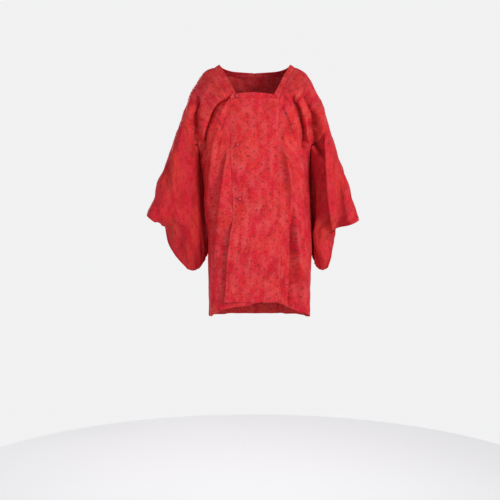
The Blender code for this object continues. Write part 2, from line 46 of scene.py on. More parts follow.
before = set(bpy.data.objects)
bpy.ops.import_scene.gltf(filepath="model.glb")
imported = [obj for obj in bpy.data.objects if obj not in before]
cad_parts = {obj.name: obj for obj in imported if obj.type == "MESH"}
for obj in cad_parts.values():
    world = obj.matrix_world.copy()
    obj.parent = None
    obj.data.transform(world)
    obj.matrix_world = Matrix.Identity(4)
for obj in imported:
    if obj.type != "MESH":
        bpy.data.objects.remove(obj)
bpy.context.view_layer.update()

# Cut of the coat
SWAY = 0.012
SWAY_TOP = -0.27
SWAY_SPAN = 0.30
LEFT_DRAW = 0.006
LAYER = 0.0042
RIGHT_HEM_DROP = 0.013
LEFT_CORNER_DROP = 0.016
HEM_STEP = 0.006
HEM_STEP_START = 0.36
ARMHOLE_END = 0.28
UNDERARM_END = 0.43
CUFF_SHARE = 0.47
OVERLAP_TOP = -0.145
OVERLAP_ARCH = 0.0010
BACK_NECK = 0.115
FRONT_BAND_FREE = (-0.0720, 0.0540)
FRONT_BAND_ARCH = 0.0060
TOP_ROUNDING = 0.13
FOOT_ROUNDING = 0.05
SLEEVE_THIN = 0.0019
CHEST_POWER = 3.2
BAG_GAP = 0.0035
BAG_TURN = 0.8
FOREARM_BULGE = 0.007
FOREARM_PLACE = 0.68
WRIST_FLARE = 0.008
STEP = 1e-4

# Fine creases: number of waves, their lengths, how far they turn and drift, and the sum they are held to
CREASE_WAVES = 30
CREASE_LENGTHS = (0.022, 0.090)
CREASE_TURN = 0.55
CREASE_DRIFT = 1.2
CREASE_SUM = 0.22

# Cloth: rolled edges as a share of the wall, hollow of the armhole seam as a share of the others,
# and how far the outer overlap's free edge lies in above and lifts off below
RIM_REACH = 0.45
SLEEVE_WALL = 0.8
ARMHOLE_HOLLOW = 0.12
EDGE_REST = 0.0033
EDGE_LIFT = 0.0085

# How deep a crease or a fold of the outer overlap may go, so that it stays clear of the under one
CREASE_FLOOR = 0.0008
FOLD_FLOOR = 0.0024

# Silk: a dot's outer and inner edge as shares of its radius, width of the dyed blocks, colour of the
# deeper streaks, share of the paler bloom and how fast it goes in silk darkened as painted shade, stretch
# along the grain
DOT_EDGES = (1.45, 0.20)
BLOCK_WIDTH = 0.094
DEEP_DYE = (0.36, 0.008, 0.014, 1.0)
BLOOM_SHARE = 0.72
BLOOM_LOSS_IN_PAINTED_SHADE = 4.5
LONG_GRAIN = (1.0, 0.45, 1.0)
SHEEN = 0.04

# Uneven grains of the silk: scale, detail and roughness of each noise
GRAINS = {
    "dot place": (90.0, 1.0, 0.5),
    "dot edge": (420.0, 2.0, 0.5),
    "mottle": (130.0, 2.0, 0.6),
    "deep streaks": (34.0, 3.0, 0.6),
    "pale clouds": (50.0, 2.0, 0.5),
    "pale grain": (190.0, 3.0, 0.7),
    "speckle": (150.0, 3.0, 0.7),
    "fine grain": (260.0, 3.0, 0.6),
    "thread": (900.0, 2.0, 0.6),
    "crepe": (1400.0, 2.0, 0.5),
}

# Buttons: height of the gathers round the rim, and where the rim darkened as painted shade starts, as a share
# of the width
BUTTON_PUCKER = 0.00012
PAINTED_SHADE_RIM_START = 0.36

# Body sections, from the front hem (-1) over the shoulder (0) to the back hem (1): the inner edge,
# the corner that the section bends towards, and the outer edge, for the wearer's left.
# station, inner x, y, z, corner x, y, z, outer x, y, z
BODY_SECTIONS = (
    (-1.000, 0.0580, -0.1370, -0.7450, 0.1660, -0.1350, -0.7750, 0.1600, -0.0002, -0.8030),
    (-0.780, 0.0660, -0.1340, -0.6200, 0.1700, -0.1340, -0.6350, 0.1640, -0.0002, -0.6500),
    (-0.600, 0.0620, -0.1320, -0.4900, 0.1740, -0.1330, -0.5000, 0.1680, -0.0002, -0.5100),
    (-0.430, 0.0650, -0.1290, -0.3600, 0.1780, -0.1300, -0.3600, 0.1720, -0.0002, -0.3750),
    (-0.350, 0.0690, -0.1265, -0.3000, 0.1790, -0.1290, -0.3000, 0.1725, -0.0230, -0.3200),
    (-0.280, 0.0710, -0.1240, -0.2450, 0.1820, -0.1280, -0.2400, 0.1760, -0.0640, -0.2680),
    (-0.200, 0.0725, -0.1190, -0.1700, 0.1860, -0.1320, -0.1650, 0.2060, -0.0960, -0.2430),
    (-0.145, 0.0735, -0.1125, -0.1170, 0.1880, -0.1240, -0.1070, 0.2240, -0.0980, -0.2120),
    (-0.060, 0.1035, -0.0640, -0.0510, 0.1880, -0.0700, -0.0400, 0.2310, -0.0540, -0.1750),
    (0.000, 0.1290, 0.0000, -0.0095, 0.1860, 0.0000, -0.0170, 0.2280, 0.0000, -0.1580),
    (0.040, 0.1210, 0.0500, -0.0140, 0.1870, 0.0520, -0.0250, 0.2300, 0.0340, -0.1670),
    (0.080, 0.0800, 0.0950, -0.0230, 0.1840, 0.0980, -0.0400, 0.2300, 0.0620, -0.1840),
    (0.115, 0.0002, 0.1050, -0.0290, 0.1800, 0.1230, -0.0640, 0.2260, 0.0830, -0.2040),
    (0.200, 0.0002, 0.1180, -0.1150, 0.1820, 0.1380, -0.1500, 0.2060, 0.0940, -0.2430),
    (0.280, 0.0002, 0.1250, -0.2120, 0.1820, 0.1360, -0.2350, 0.1760, 0.0640, -0.2680),
    (0.350, 0.0002, 0.1265, -0.2950, 0.1790, 0.1340, -0.3050, 0.1725, 0.0230, -0.3200),
    (0.430, 0.0002, 0.1260, -0.3700, 0.1780, 0.1320, -0.3700, 0.1720, 0.0002, -0.3750),
    (0.600, 0.0002, 0.1240, -0.5100, 0.1740, 0.1300, -0.5100, 0.1680, 0.0002, -0.5100),
    (0.780, 0.0002, 0.1250, -0.6500, 0.1700, 0.1300, -0.6500, 0.1640, 0.0002, -0.6500),
    (1.000, 0.0002, 0.1280, -0.8080, 0.1660, 0.1310, -0.8080, 0.1600, 0.0002, -0.8030),
)

# Chest under the overlap panels: height, half width, depth in front of the neck
CHEST_SECTIONS = (
    (-0.830, 0.182, 0.1330),
    (-0.620, 0.182, 0.1310),
    (-0.490, 0.184, 0.1300),
    (-0.360, 0.188, 0.1290),
    (-0.245, 0.194, 0.1250),
    (-0.170, 0.200, 0.1205),
    (-0.117, 0.205, 0.1140),
    (-0.060, 0.205, 0.1000),
)

# Free edges of the overlap panels: station of the body sections, x of the outer one, x of the under one
OVERLAP_EDGES = (
    (-1.000, -0.1060, 0.0560),
    (-0.900, -0.1015, 0.0560),
    (-0.780, -0.0970, 0.0560),
    (-0.670, -0.0880, 0.0550),
    (-0.600, -0.0800, 0.0540),
    (-0.490, -0.0750, 0.0550),
    (-0.350, -0.0745, 0.0570),
    (-0.200, -0.0765, 0.0600),
    (-0.145, -0.0755, 0.0600),
)

# Neck edge of the collar frame, at the body's stations: x, y, z, with the wearer's left in +X
NECK_EDGE = (
    (-0.145, 0.0580, -0.1105, -0.1055),
    (-0.060, 0.0900, -0.0600, -0.0430),
    (0.000, 0.1140, 0.0000, 0.0000),
    (0.040, 0.1070, 0.0430, -0.0035),
    (0.080, 0.0720, 0.0830, -0.0110),
    (0.115, 0.0002, 0.0970, -0.0150),
)

# How far each flank is drawn in, at heights from the hem up: height, wearer's right, wearer's left
FLANKS = (
    (-0.810, 0.0040, 0.0085),
    (-0.720, 0.0040, 0.0015),
    (-0.620, 0.0055, -0.0035),
    (-0.500, 0.0085, -0.0010),
    (-0.400, 0.0060, 0.0000),
    (-0.300, 0.0000, 0.0000),
)

# Sleeves: share of the drop from the arm line, then the loop's middle x, y, z and half depth at the
# armhole edge, half way and at the wrist edge. The armhole loop is the body's outer edge down to its end.
SLEEVE_RIGHT = (
    (0.00, 0.226, 0.000, -0.156, 0.040, 0.283, -0.010, -0.315, 0.070, 0.3330, -0.030, -0.474, 0.0700),
    (0.12, 0.226, 0.000, -0.180, 0.060, 0.276, -0.012, -0.336, 0.092, 0.3250, -0.032, -0.483, 0.0930),
    (0.25, 0.216, 0.000, -0.220, 0.070, 0.261, -0.014, -0.383, 0.105, 0.3120, -0.034, -0.496, 0.1000),
    (0.47, 0.1765, 0.000, -0.269, 0.055, 0.238, -0.016, -0.470, 0.098, 0.2865, -0.036, -0.513, 0.0040),
    (0.50, 0.180, 0.001, -0.285, 0.052, 0.235, -0.016, -0.480, 0.094, 0.2845, -0.036, -0.521, 0.0019),
    (0.65, 0.1745, 0.022, -0.360, 0.045, 0.220, -0.011, -0.530, 0.072, 0.2770, -0.035, -0.561, 0.0019),
    (0.82, 0.168, 0.027, -0.480, 0.034, 0.203, -0.004, -0.588, 0.044, 0.2560, -0.032, -0.602, 0.0019),
    (1.00, 0.164, 0.022, -0.600, 0.016, 0.185, 0.006, -0.648, 0.020, 0.2140, -0.026, -0.650, 0.0019),
)
SLEEVE_LEFT = (
    (0.00, 0.228, 0.000, -0.158, 0.040, 0.276, -0.010, -0.323, 0.070, 0.325, -0.030, -0.487, 0.0700),
    (0.12, 0.226, 0.000, -0.182, 0.060, 0.268, -0.012, -0.344, 0.092, 0.316, -0.032, -0.495, 0.0930),
    (0.25, 0.217, 0.000, -0.220, 0.070, 0.260, -0.014, -0.389, 0.105, 0.297, -0.034, -0.505, 0.1000),
    (0.47, 0.1765, 0.000, -0.269, 0.055, 0.240, -0.016, -0.470, 0.098, 0.238, -0.036, -0.526, 0.0040),
    (0.50, 0.1805, 0.001, -0.285, 0.052, 0.232, -0.016, -0.480, 0.090, 0.230, -0.036, -0.532, 0.0019),
    (0.65, 0.180, 0.022, -0.360, 0.045, 0.217, -0.011, -0.530, 0.064, 0.232, -0.035, -0.566, 0.0019),
    (0.82, 0.187, 0.027, -0.480, 0.034, 0.214, -0.004, -0.588, 0.042, 0.242, -0.032, -0.604, 0.0019),
    (1.00, 0.191, 0.022, -0.610, 0.016, 0.208, 0.006, -0.650, 0.018, 0.232, -0.026, -0.645, 0.0019),
)

# Folds, seen from the front: from x, z, by way of x, z, to x, z, then the half width, the height (a ridge
# is positive, a trough negative), the share of the length that each end fades over, how crisp it is, and by
# what share its left side, seen along the path, is wider and its right side narrower. A row that ends sooner
# takes its last values from PLAIN_FOLD, which is soft and even.
PLAIN_FOLD = (2.0, 0.0)
FRONT_FOLDS_LEFT = (
    (0.08, -0.225, 0.124, -0.52, 0.146, -0.83, 0.011, 0.023, 0.26, 0.02, 1.3, 0.45),
    (0.1085, -0.345, 0.117, -0.56, 0.101, -0.81, 0.0085, -0.018, 0.16, 0.02, 1.4, 0.6),
    (0.086, -0.235, 0.122, -0.5, 0.151, -0.8, 0.0048, 0.0085, 0.18, 0.06, 1.1, 0.45),
    (0.084, -0.132, 0.104, -0.175, 0.138, -0.285, 0.0065, 0.01, 0.15, 0.35, 1.3, 0.3),
    (0.087, -0.19, 0.09, -0.28, 0.098, -0.4, 0.01, 0.005, 0.25, 0.4, 1.8, -0.2),
    (0.118, -0.175, 0.132, -0.23, 0.14, -0.32, 0.008, -0.004, 0.3, 0.4),
    (0.138, -0.3, 0.152, -0.5, 0.16, -0.83, 0.012, 0.006, 0.3, 0.02, 1.8),
    (0.074, -0.108, 0.088, -0.109, 0.098, -0.128, 0.0035, -0.0045, 0.15, 0.3),
    (0.078, -0.102, 0.096, -0.103, 0.108, -0.124, 0.0045, 0.004, 0.2, 0.3),
    (0.108, -0.11, 0.124, -0.112, 0.144, -0.119, 0.006, -0.008, 0.2, 0.25),
    (0.104, -0.1, 0.122, -0.099, 0.144, -0.106, 0.009, 0.004, 0.3, 0.3),
    (0.155, -0.084, 0.185, -0.142, 0.189, -0.3, 0.012, -0.038, 0.12, 0.05, 1.6),
    (0.15, -0.1, 0.172, -0.16, 0.176, -0.265, 0.0085, 0.006, 0.25, 0.15, 1.8),
    (0.2, -0.105, 0.214, -0.17, 0.206, -0.25, 0.011, 0.006, 0.3, 0.2),
    (0.084, -0.636, 0.085, -0.69, 0.07, -0.765, 0.0032, -0.0055, 0.25, 0.05, 2.0, 0.3),
    (0.096, -0.64, 0.098, -0.7, 0.09, -0.79, 0.0055, 0.0035, 0.3, 0.05),
)
FRONT_FOLDS_RIGHT = (
    (-0.08, -0.255, -0.118, -0.45, -0.128, -0.83, 0.01, 0.012, 0.2, 0.02, 1.5, 0.45),
    (-0.095, -0.27, -0.132, -0.44, -0.141, -0.83, 0.0095, -0.0075, 0.25, 0.02, 1.8, -0.3),
    (-0.078, -0.114, -0.098, -0.146, -0.116, -0.2, 0.008, 0.007, 0.12, 0.4, 1.5, 0.3),
    (-0.084, -0.15, -0.098, -0.185, -0.11, -0.225, 0.0045, -0.005, 0.25, 0.3, 1.8),
    (-0.104, -0.225, -0.114, -0.265, -0.126, -0.32, 0.0045, -0.005, 0.25, 0.35, 1.8),
    (-0.116, -0.2, -0.13, -0.26, -0.138, -0.38, 0.011, 0.006, 0.25, 0.4, 1.8, 0.3),
    (-0.15, -0.33, -0.156, -0.5, -0.152, -0.83, 0.011, 0.006, 0.3, 0.02, 1.7, 0.3),
    (-0.18, -0.086, -0.19, -0.19, -0.178, -0.3, 0.0085, -0.032, 0.2, 0.05, 1.5),
    (-0.134, -0.3, -0.146, -0.42, -0.148, -0.56, 0.0085, 0.006, 0.3, 0.35, 1.8),
    (-0.2, -0.11, -0.206, -0.17, -0.196, -0.25, 0.01, 0.006, 0.3, 0.2),
    (-0.206, -0.175, -0.196, -0.215, -0.186, -0.265, 0.005, -0.006, 0.3, 0.2, 1.8),
    (-0.14, -0.055, -0.15, -0.08, -0.158, -0.13, 0.012, 0.003, 0.3, 0.4),
    (-0.074, -0.1, -0.096, -0.088, -0.12, -0.094, 0.009, 0.0035, 0.2, 0.3),
)
BACK_FOLDS = (
    (0.06, -0.3, 0.068, -0.52, 0.085, -0.84, 0.017, 0.0142, 0.35, 0.02, 1.8),
    (-0.052, -0.26, -0.07, -0.5, -0.078, -0.84, 0.017, 0.0135, 0.35, 0.02, 1.8),
    (0.12, -0.33, 0.128, -0.52, 0.13, -0.84, 0.014, 0.0112, 0.4, 0.02, 1.8),
    (-0.118, -0.3, -0.126, -0.5, -0.134, -0.84, 0.014, 0.012, 0.4, 0.02, 1.8),
    (0.092, -0.42, 0.1, -0.6, 0.108, -0.84, 0.011, -0.009, 0.35, 0.02),
    (-0.096, -0.38, -0.102, -0.58, -0.106, -0.84, 0.011, -0.0097, 0.35, 0.02),
    (0.026, -0.48, 0.031, -0.62, 0.034, -0.84, 0.011, 0.0067, 0.4, 0.02),
    (-0.024, -0.52, -0.03, -0.64, -0.038, -0.84, 0.011, 0.006, 0.4, 0.02),
    (0.172, -0.25, 0.13, -0.3, 0.096, -0.42, 0.011, 0.0105, 0.25, 0.4, 1.6),
    (-0.172, -0.25, -0.134, -0.31, -0.104, -0.45, 0.011, 0.0105, 0.25, 0.4, 1.6),
    (0.168, -0.285, 0.15, -0.35, 0.146, -0.5, 0.009, -0.0075, 0.3, 0.4),
    (-0.168, -0.285, -0.152, -0.36, -0.15, -0.52, 0.009, -0.0075, 0.3, 0.4),
    (0.155, -0.062, 0.176, -0.14, 0.176, -0.24, 0.012, -0.012, 0.3, 0.2, 1.8),
    (-0.155, -0.066, -0.178, -0.145, -0.177, -0.24, 0.012, -0.0128, 0.3, 0.2, 1.8),
    (0.12, -0.08, 0.146, -0.15, 0.152, -0.25, 0.014, 0.0083, 0.3, 0.3),
    (-0.118, -0.084, -0.148, -0.155, -0.154, -0.255, 0.014, 0.0083, 0.3, 0.3),
    (0.03, -0.075, 0.07, -0.095, 0.11, -0.15, 0.012, 0.0045, 0.3, 0.4),
    (-0.036, -0.08, -0.074, -0.1, -0.112, -0.16, 0.012, 0.0045, 0.3, 0.4),
)
SLEEVE_FRONT_FOLDS = (
    (-0.254, -0.245, -0.274, -0.33, -0.276, -0.42, 0.011, -0.0083, 0.3, 0.3),
    (-0.236, -0.235, -0.262, -0.35, -0.258, -0.48, 0.015, 0.009, 0.3, 0.3, 1.8),
    (-0.252, -0.42, -0.262, -0.5, -0.27, -0.545, 0.011, -0.0067, 0.3, 0.2),
    (-0.292, -0.455, -0.293, -0.485, -0.289, -0.525, 0.0055, 0.0045, 0.3, 0.05, 1.6),
    (-0.303, -0.44, -0.303, -0.475, -0.3, -0.515, 0.0055, -0.003, 0.3, 0.05),
    (-0.215, -0.33, -0.226, -0.42, -0.236, -0.5, 0.014, -0.0067, 0.4, 0.4),
    (-0.212, -0.43, -0.222, -0.52, -0.206, -0.64, 0.014, 0.009, 0.35, 0.2, 1.8),
    (-0.256, -0.572, -0.24, -0.577, -0.226, -0.572, 0.0045, -0.0045, 0.3, 0.3),
    (-0.236, -0.54, -0.228, -0.57, -0.212, -0.61, 0.011, -0.0053, 0.3, 0.3),
    (0.262, -0.3, 0.285, -0.41, 0.296, -0.51, 0.015, 0.0067, 0.3, 0.05),
    (0.24, -0.25, 0.262, -0.38, 0.268, -0.52, 0.011, -0.006, 0.3, 0.1),
    (0.29, -0.38, 0.306, -0.44, 0.318, -0.5, 0.008, 0.0045, 0.3, 0.1),
    (0.208, -0.5, 0.216, -0.57, 0.216, -0.64, 0.015, 0.005, 0.4, 0.2),
    (0.196, -0.44, 0.198, -0.5, 0.196, -0.58, 0.008, -0.004, 0.3, 0.3),
)
SLEEVE_BACK_FOLDS = (
    (-0.225, -0.24, -0.245, -0.4, -0.262, -0.56, 0.014, 0.0112, 0.3, 0.1, 1.8),
    (-0.255, -0.24, -0.28, -0.38, -0.3, -0.52, 0.012, 0.0075, 0.3, 0.1),
    (-0.24, -0.28, -0.262, -0.4, -0.28, -0.52, 0.009, -0.0075, 0.3, 0.1),
    (-0.195, -0.35, -0.206, -0.48, -0.196, -0.64, 0.012, 0.0075, 0.35, 0.2),
    (0.222, -0.23, 0.236, -0.4, 0.248, -0.56, 0.014, 0.0112, 0.3, 0.1, 1.8),
    (0.252, -0.24, 0.276, -0.39, 0.292, -0.52, 0.012, 0.0075, 0.3, 0.1),
    (0.238, -0.28, 0.256, -0.4, 0.268, -0.52, 0.009, -0.0069, 0.3, 0.1),
    (0.2, -0.38, 0.212, -0.5, 0.212, -0.64, 0.012, 0.0069, 0.35, 0.2),
)

# Soft undulations of the outer overlap panel
OVERLAP_FOLDS = (
    (-0.072, -0.641, -0.046, -0.626, -0.026, -0.6, 0.006, -0.0034, 0.25, 0.25),
    (-0.07, -0.622, -0.046, -0.606, -0.034, -0.59, 0.008, 0.002, 0.3, 0.3),
    (-0.02, -0.18, -0.014, -0.4, 0.006, -0.76, 0.02, 0.0016, 0.3, 0.02),
    (0.03, -0.3, 0.034, -0.5, 0.04, -0.77, 0.014, 0.0014, 0.3, 0.02),
    (-0.048, -0.25, -0.05, -0.4, -0.05, -0.56, 0.012, 0.0012, 0.3, 0.3),
    (-0.094, -0.727, -0.074, -0.7245, -0.044, -0.7235, 0.0022, 0.0014, 0.15, 0.25),
)

# Lips, where slack cloth hangs over its neighbour: the same path, the side that lies under (1 is the left of
# the path), roll width and height, tuck width and depth, slope, overhang, and the fades of the two ends
FRONT_LIPS_LEFT = (
    (0.112, -0.106, 0.158, -0.118, 0.174, -0.28, -1, 0.015, 0.013, 0.022, 0.028, 0.0055, 0.011, 0.26, 0.05),
)
FRONT_LIPS_RIGHT = (
    (-0.068, -0.106, -0.15, -0.1, -0.178, -0.284, 1, 0.017, 0.014, 0.016, 0.026, 0.0055, 0.012, 0.16, 0.05),
)
SLEEVE_LIPS = (
    (0.212, -0.205, 0.219, -0.37, 0.238, -0.53, -1, 0.012, 0.011, 0.034, 0.021, 0.006, 0.004, 0.18, 0.06),
)

# Buttons: node, and where the cloth under it is measured for its tilt, across and along that piece
BUTTONS = (
    ("button_top", 0.126, 0.42),
    ("button_mid", 0.146, -0.2985),
    ("button_low", 0.160, -0.5160),
)

# Cloth pieces: flat width and length of the cut, and the flat area of what shows of it
CUTS = {
    "body_left": (0.315, 1.62, 0.435),
    "body_right": (0.315, 1.62, 0.435),
    "overlap_left": (0.170, 0.66, 0.105),
    "overlap_right": (0.150, 0.66, 0.090),
    "sleeve_left": (0.345, 0.99, 0.240),
    "sleeve_right": (0.345, 0.99, 0.255),
    "collar_left": (0.020, 0.38, 0.0070),
    "collar_right": (0.020, 0.38, 0.0070),
    "collar_front": (0.0175, 0.150, 0.0026),
    "collar_under": (0.0175, 0.135, 0.0023),
}


class CoatSilk(bpy.types.PropertyGroup):
    """Colours and figure of the silk."""

    crimson: bpy.props.FloatVectorProperty(
        name="Crimson", description="Main colour of the dye", subtype="COLOR", default=(0.53, 0.0130, 0.029)
    )
    vermilion: bpy.props.FloatVectorProperty(
        name="Vermilion", description="Colour of the lighter patches", subtype="COLOR",
        default=(0.57, 0.0330, 0.027)
    )
    bloom: bpy.props.FloatVectorProperty(
        name="Bloom", description="Colour of the paler crepe grain", subtype="COLOR",
        default=(0.62, 0.082, 0.082)
    )
    dot: bpy.props.FloatVectorProperty(
        name="Dot", description="Colour of the small dots", subtype="COLOR", default=(0.20, 0.022, 0.022)
    )
    dot_columns: bpy.props.FloatProperty(
        name="Dot columns", description="Distance between columns of dots", unit="LENGTH", default=0.0212
    )
    dot_rows: bpy.props.FloatProperty(
        name="Dot rows", description="Distance between dots in a column", unit="LENGTH", default=0.0258
    )
    dot_radius: bpy.props.FloatProperty(
        name="Dot radius", description="Radius of one dot", unit="LENGTH", default=0.0043
    )
    patch: bpy.props.FloatProperty(
        name="Patch size", description="Size of the lighter patches", unit="LENGTH", default=0.085
    )
    roughness: bpy.props.FloatProperty(
        name="Roughness", description="Roughness of the silk", subtype="FACTOR", default=0.66
    )


class CoatCloth(bpy.types.PropertyGroup):
    """Thickness, seams and creases of the cloth."""

    wall: bpy.props.FloatProperty(
        name="Wall", description="Thickness of a panel", unit="LENGTH", default=0.0015
    )
    collar_wall: bpy.props.FloatProperty(
        name="Collar wall", description="Thickness of the doubled collar", unit="LENGTH", default=0.0026
    )
    seam_width: bpy.props.FloatProperty(
        name="Seam width", description="Half width of the hollow at a seam", unit="LENGTH", default=0.0020
    )
    seam_depth: bpy.props.FloatProperty(
        name="Seam depth", description="Depth of the hollow at a seam", unit="LENGTH", default=0.0016
    )
    crease: bpy.props.FloatProperty(
        name="Creases", description="Height of the fine creases", unit="LENGTH", default=0.0009
    )


class CoatStage(bpy.types.PropertyGroup):
    """Camera, light and floor."""

    camera_height: bpy.props.FloatProperty(
        name="Camera height", description="Height of the lens", unit="LENGTH", default=-0.434
    )
    camera_distance: bpy.props.FloatProperty(
        name="Camera distance", description="Distance in front of the neck", unit="LENGTH", default=3.215
    )
    camera_tilt: bpy.props.FloatProperty(
        name="Camera tilt", description="Turn below the horizon", subtype="ANGLE", default=math.radians(2.78)
    )
    lens: bpy.props.FloatProperty(name="Lens", description="Focal length in millimetres", default=72.2)
    key: bpy.props.FloatProperty(name="Key light", description="Power of the main light", default=5.2)
    spread: bpy.props.FloatProperty(
        name="Spread", description="Angle that the lights spread over", subtype="ANGLE",
        default=math.radians(60.0)
    )
    fill: bpy.props.FloatProperty(name="Fill light", description="Power of the side light", default=0.4)
    sky: bpy.props.FloatProperty(name="Sky", description="Strength of the light all round", default=0.92)
    floor: bpy.props.FloatProperty(
        name="Floor", description="Height of the floor", unit="LENGTH", default=-1.38
    )
    back: bpy.props.FloatProperty(
        name="Back light", description="Power of the light behind the coat", default=4.0, min=0.0
    )


def smooth(at, places, values):
    """Values between the places, by a curve that never overshoots them."""
    gaps = np.diff(places)
    rises = np.diff(values) / gaps
    slopes = np.zeros(len(places))
    slopes[0] = rises[0]
    slopes[-1] = rises[-1]
    for k in range(1, len(places) - 1):
        if rises[k - 1] * rises[k] > 0.0:
            near = 2.0 * gaps[k] + gaps[k - 1]
            far = gaps[k] + 2.0 * gaps[k - 1]
            slopes[k] = (near + far) / (near / rises[k - 1] + far / rises[k])
    at = np.clip(at, places[0], places[-1])
    k = np.clip(np.searchsorted(places, at, side="right") - 1, 0, len(gaps) - 1)
    share = (at - places[k]) / gaps[k]
    back = 1.0 - share
    ends = values[k] * back * back * (1.0 + 2.0 * share) + values[k + 1] * share * share * (3.0 - 2.0 * share)
    bends = gaps[k] * share * back * (slopes[k] * back - slopes[k + 1] * share)
    return ends + bends


def columns(table, at, first, count):
    """The named columns of a section table at the stations asked for."""
    rows = np.array(table)
    return np.stack([smooth(at, rows[:, 0], rows[:, first + k]) for k in range(count)], axis=-1)


def ease(share):
    """A soft step from 0 to 1."""
    share = np.clip(share, 0.0, 1.0)
    return share * share * (3.0 - 2.0 * share)


def flank_draw(z, side):
    """How far the flank of a side is drawn in at a height."""
    rows = np.array(FLANKS)
    return smooth(z, rows[:, 0], rows[:, 2 if side > 0 else 1])


def swayed(points):
    """The lower body hangs a little towards the wearer's left, and each side is drawn in a little."""
    moved = points.copy()
    for side in (1, -1):
        moved[..., 0] -= side * flank_draw(points[..., 2], side) * ease((side * points[..., 0] - 0.08) / 0.08)
    moved[..., 0] += SWAY * ease((SWAY_TOP - points[..., 2]) / SWAY_SPAN)
    moved[..., 0] -= LEFT_DRAW * ease((points[..., 0] - 0.08) / 0.12) * ease((points[..., 2] + 0.30) / 0.10)
    return moved


def beside_path(flat, row, count=24):
    """For each point: distance to the left of a fold's path, share of its length, and the way to the left."""
    share = np.linspace(0.0, 1.0, count)[:, None]
    start, via, end = np.array(row[0:2]), np.array(row[2:4]), np.array(row[4:6])
    path = start * (1 - share) ** 2 + 2 * via * share * (1 - share) + end * share ** 2
    runs = np.diff(path, axis=0)
    size = (runs ** 2).sum(1)
    apart = np.full(len(flat), np.inf)
    aside = np.zeros(len(flat))
    along = np.zeros(len(flat))
    left = np.zeros((len(flat), 2))
    for k, run in enumerate(runs):
        offset = flat - path[k]
        part = np.clip((offset @ run) / size[k], 0.0, 1.0)
        gap = offset - part[:, None] * run
        far = np.hypot(gap[:, 0], gap[:, 1])
        near = far < apart
        apart[near] = far[near]
        turn = run[0] * gap[:, 1] - run[1] * gap[:, 0]
        aside[near] = (np.sign(turn) * far)[near]
        along[near] = ((k + part) / len(runs))[near]
        left[near] = np.array((-run[1], run[0])) / math.sqrt(size[k])
    return aside, along, left


def close_to(flat, row, reach):
    """Which points lie within reach of the box round a fold's path."""
    ends = np.array(row[0:6]).reshape(3, 2)
    low, high = ends.min(axis=0) - reach, ends.max(axis=0) + reach
    return np.nonzero(((flat > low) & (flat < high)).all(axis=1))[0]


def relief(points, folds, lips=()):
    """Height of the folds and lips at the points, and how far each lip is drawn over what lies under it."""
    flat = points[..., [0, 2]].reshape(-1, 2)
    height = np.zeros(len(flat))
    drawn = np.zeros((len(flat), 3))
    for row in folds:
        width, rise, fade_in, fade_out, crisp, lean = row[6:] + PLAIN_FOLD[len(row) - 10:]
        near = close_to(flat, row, 4.5 * width)
        aside, along, _ = beside_path(flat[near], row)
        fade = ease(along / fade_in) * ease((1.0 - along) / fade_out)
        reach = width * (1.0 + lean * np.sign(aside))
        height[near] += rise * fade * np.exp(-(np.abs(aside / reach) ** crisp))
    for row in lips:
        under, roll_width, roll, tuck_width, tuck, slope, overhang, fade_in, fade_out = row[6:15]
        near = close_to(flat, row, 0.08)
        aside, along, left = beside_path(flat[near], row)
        inward = aside * under
        fade = ease(along / fade_in) * ease((1.0 - along) / fade_out)
        roll_part = np.exp(-((np.minimum(inward, 0.0) / roll_width) ** 2)) * ease(0.5 - inward / (2 * slope))
        tuck_part = np.exp(-((np.maximum(inward, 0.0) / tuck_width) ** 2)) * ease(0.5 + inward / (2 * slope))
        height[near] += fade * (roll * roll_part - tuck * tuck_part)
        pull = overhang * fade * np.exp(-(((inward + 0.6 * slope) / (1.4 * slope)) ** 2)) * under
        drawn[near, 0] += pull * left[:, 0]
        drawn[near, 2] += pull * left[:, 1]
    return height.reshape(points.shape[:-1]), drawn.reshape(points.shape)


def armhole_share(station):
    """1 along the sewn armhole, 0 at the shoulder line, at the armhole's end and below it."""
    station = np.abs(station)
    return ease(station / 0.085) * ease((ARMHOLE_END - station) / 0.05)


def side_relief(points, side, front):
    """Folds and lips of the body and the sleeve of one side, so that they run on across the armhole."""
    if not front:
        return relief(points, BACK_FOLDS + SLEEVE_BACK_FOLDS)
    if side > 0:
        return relief(points, FRONT_FOLDS_LEFT + SLEEVE_FRONT_FOLDS, FRONT_LIPS_LEFT + SLEEVE_LIPS)
    return relief(points, FRONT_FOLDS_RIGHT + SLEEVE_FRONT_FOLDS, FRONT_LIPS_RIGHT)


def pushed(points, normal, height, drawn, square):
    """Points moved out by the height along the normal, or squarely to the front or back at a sewn armhole."""
    level = np.zeros_like(normal)
    level[..., 1] = np.where(normal[..., 1] < 0.0, -1.0, 1.0)
    way = normal * (1.0 - square[..., None]) + level * square[..., None]
    return points + way * height[..., None] + drawn


def creases(uv, seed, height):
    """Fine uneven creases over a panel, from crossing soft waves."""
    random = np.random.default_rng(seed)
    total = np.zeros(uv.shape[:-1])
    for _ in range(CREASE_WAVES):
        length = random.uniform(*CREASE_LENGTHS)
        heading = random.normal(0.0, CREASE_TURN)
        phase = random.uniform(0.0, 2 * math.pi)
        wave = (uv[..., 0] * math.cos(heading) + uv[..., 1] * math.sin(heading)) / length
        drift = np.sin(uv[..., 1] * random.uniform(4.0, 14.0) + random.uniform(0.0, 2 * math.pi))
        total += np.sin(2 * math.pi * wave + phase + CREASE_DRIFT * drift) * length
    return height * total / CREASE_SUM


def chest(x, z):
    """Y of the chest under the overlap panels, at a place seen from the front."""
    rows = np.array(CHEST_SECTIONS)
    half = smooth(z, rows[:, 0], rows[:, 1])
    depth = smooth(z, rows[:, 0], rows[:, 2])
    return -depth * (1.0 - np.abs(x / half) ** CHEST_POWER) ** (1.0 / CHEST_POWER)


def chest_slope(x, z):
    """How fast the chest's Y changes with x."""
    return (chest(x + STEP, z) - chest(x - STEP, z)) / (2 * STEP)


